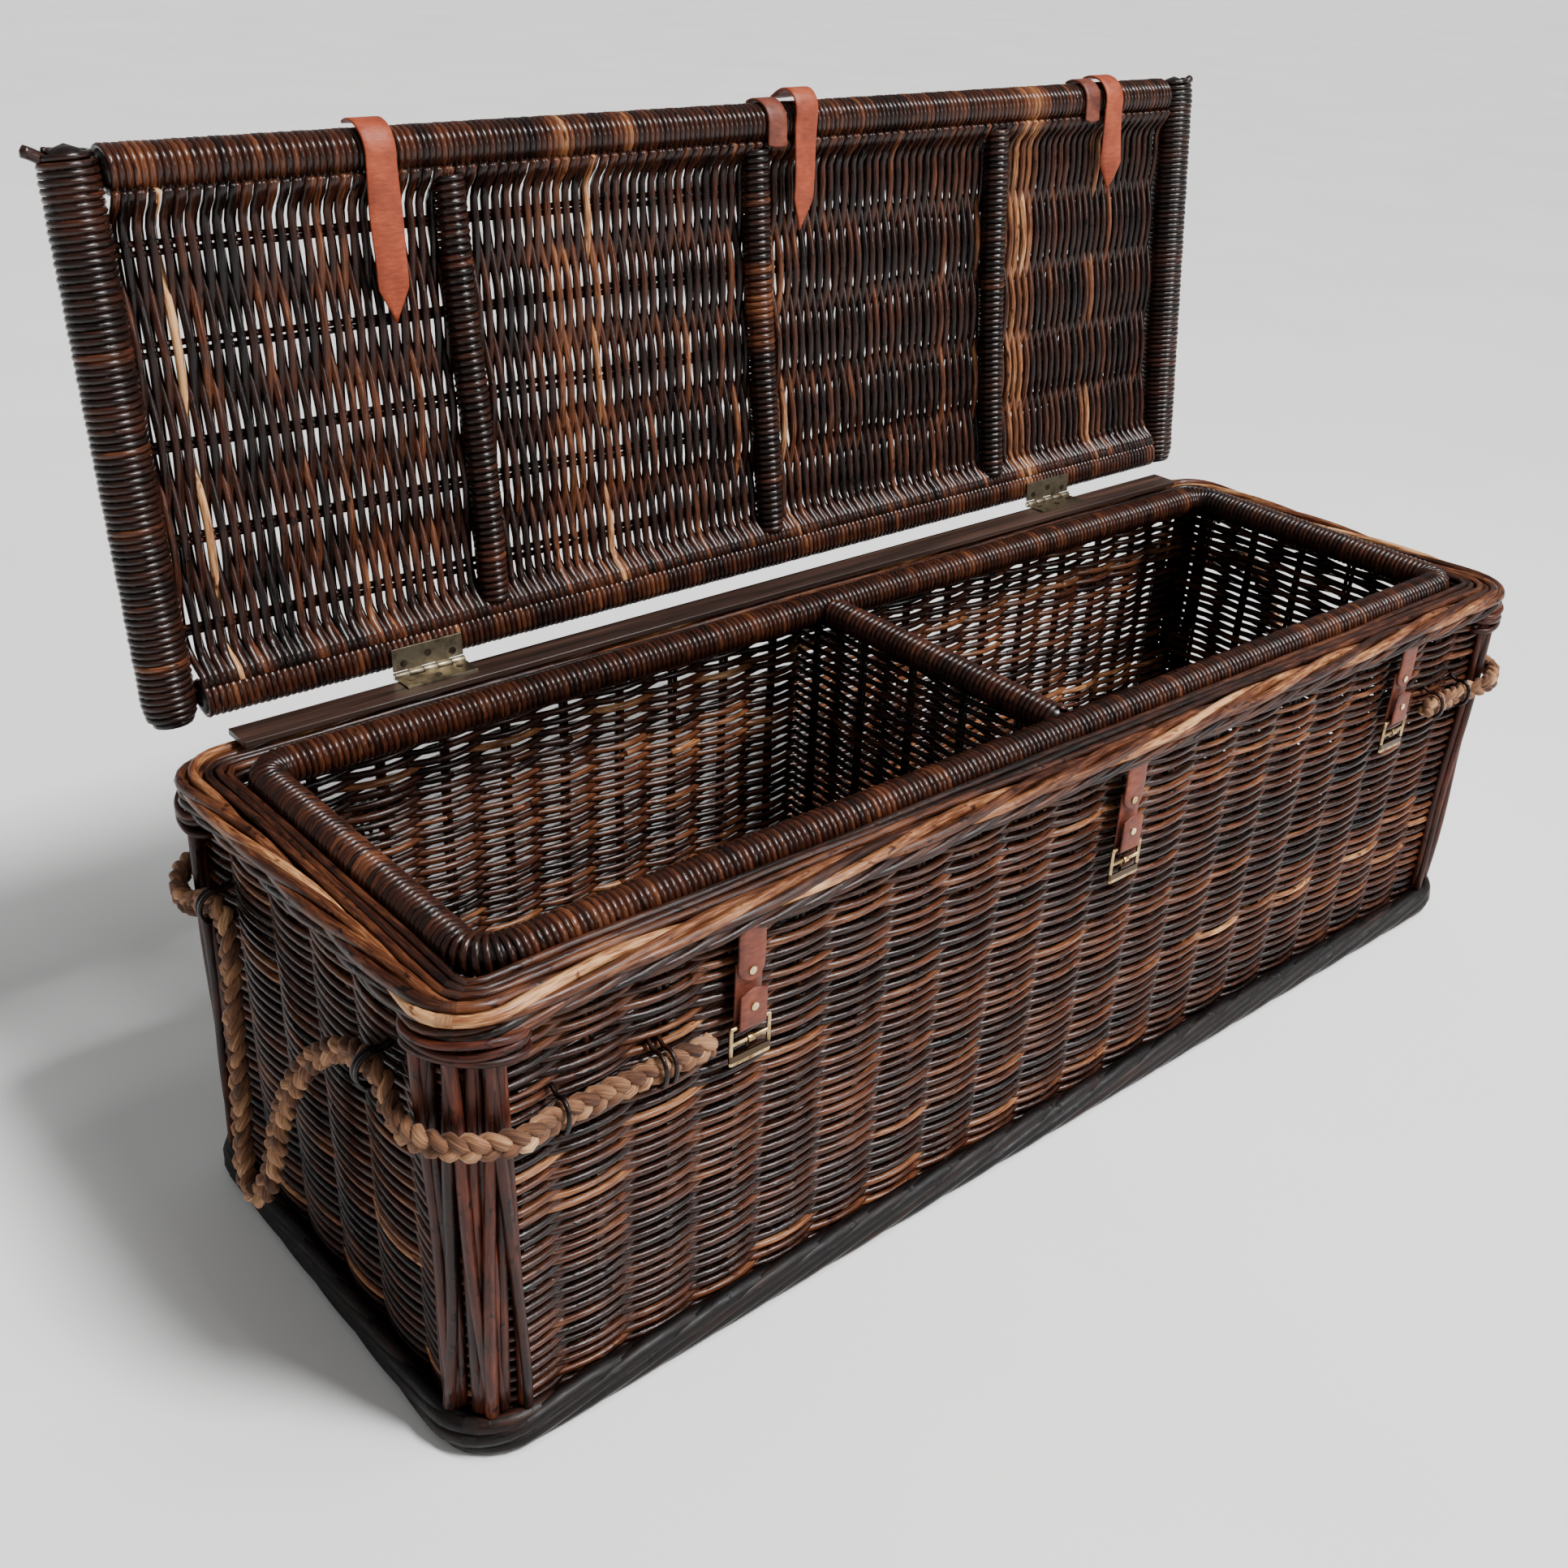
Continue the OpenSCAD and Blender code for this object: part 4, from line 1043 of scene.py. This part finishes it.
def add_tabs():
    for x, name in zip(BUCKLE_X, THIRDS):
        rounded = TAB_END + TAB_HALF * (1 - np.sin(np.linspace(0.1, 1, 12) * math.pi / 2))
        z = np.concatenate([np.linspace(TAB_TOP, TAB_END + TAB_HALF, 10), rounded])
        drop = np.clip((TAB_END + TAB_HALF - z) / TAB_HALF, 0, 1)
        half = TAB_HALF * np.sqrt(np.maximum(1 - drop**2, 0.006))
        y = TAB_Y + 0.0002 * np.sin(z * 300)
        rods = Rods()
        rods.band(np.column_stack([np.full(len(z), x), y, z]), [1, 0, 0], half, 0.0023, 0.5)
        rods.make(f"leather_tab_{name}", "trunk", "tab_leather", TAB_LEATHER, f"rim_tab_{name}")
        a = np.radians(np.linspace(0, 180, 12))
        back, front, r = -0.1993, -0.2057, 0.0032
        up = np.linspace(0.322, BAR_Z + 0.001, 9)
        down = np.linspace(BAR_Z + 0.001, 0.300, 8)
        y = np.concatenate([np.full(9, back), (back + front) / 2 + r * np.cos(a), np.full(8, front)])
        z = np.concatenate([up, BAR_Z - r * np.sin(a), down])
        rods = Rods()
        rods.band(np.column_stack([np.full(len(z), x), y, z]), [-1, 0, 0], TAB_HALF, 0.0021, 0.5)
        rods.make(f"leather_loop_{name}", "trunk", "tab_leather", TAB_LEATHER, f"buckle_loop_{name}")


add_straps()
add_tabs()


# ---- CAD nodes that are shown as they are ----


def dress(name, material, bevel):
    node = nodes[name]
    for held in node.material_slots:
        held.material = material
    weld = node.modifiers.new("weld", "WELD")
    weld.merge_threshold = 0.00001
    edge = node.modifiers.new("bevel", "BEVEL")
    edge.width, edge.segments, edge.limit_method, edge.angle_limit = bevel, 2, "ANGLE", math.radians(35)


dress("hinge_batten", BATTEN, 0.0008)
dress("tab_rivets", RIVET, 0.00045)
for name in THIRDS:
    dress(f"buckle_frame_{name}", BRASS, 0.0002)
    dress(f"buckle_prong_{name}", BRASS, 0.0002)
for name in ("left", "right"):
    dress(f"hinge_lower_leaf_{name}", HINGE, 0.0003)
    dress(f"hinge_upper_leaf_{name}", HINGE, 0.0003)
    dress(f"hinge_pin_{name}", PIN, 0.0003)
dress("batten_screws", SCREW, 0.0001)
dress("lid_screws", SCREW, 0.0001)


# ---- floor and light ----


def add_light(name, place, aim, size, watts):
    data = bpy.data.lights.new(name, "AREA")
    data.size, data.energy = size, watts
    light = bpy.data.objects.new(name, data)
    light.location = place
    light.rotation_mode = "QUATERNION"
    light.rotation_quaternion = (Vector(aim) - Vector(place)).to_track_quat("-Z", "Y")
    scene.collection.objects.link(light)


def add_stage():
    mesh = bpy.data.meshes.new("floor")
    half = 200
    corners = [(-half, -half, 0), (half, -half, 0), (half, half, 0), (-half, half, 0)]
    mesh.from_pydata(corners, [], [(0, 1, 2, 3)])
    n = Nodes("pale_floor")
    cloud = n.noise(n.add("TexCoord").outputs["Object"], 2.0)
    pale = n.ramp(cloud, [(0.3, linear(236, 236, 235)), (0.7, linear(243, 243, 242))])
    mesh.materials.append(n.finish(Base_Color=pale, Roughness=0.9))
    floor = bpy.data.objects.new("floor", mesh)
    scene.collection.objects.link(floor)
    world = bpy.data.worlds.new("world")
    world.use_nodes = True
    background = world.node_tree.nodes["Background"]
    background.inputs["Color"].default_value = (1.0, 1.0, 1.0, 1)
    background.inputs["Strength"].default_value = 0.34
    scene.world = world
    data = bpy.data.lights.new("broad_light", "SUN")
    data.energy, data.angle = 4.6, math.radians(13)
    sun = bpy.data.objects.new("broad_light", data)
    sun.rotation_mode = "QUATERNION"
    sun.rotation_quaternion = Vector((0.45, -0.75, 1.15)).to_track_quat("Z", "Y")
    scene.collection.objects.link(sun)
    add_light("sky_light", (0.4, -1.0, 3.0), (0, 0, 0.3), 1.0, 50)
    add_light("front_light", (1.4, -2.8, 1.6), (0, 0, 0.35), 0.9, 40)


add_stage()
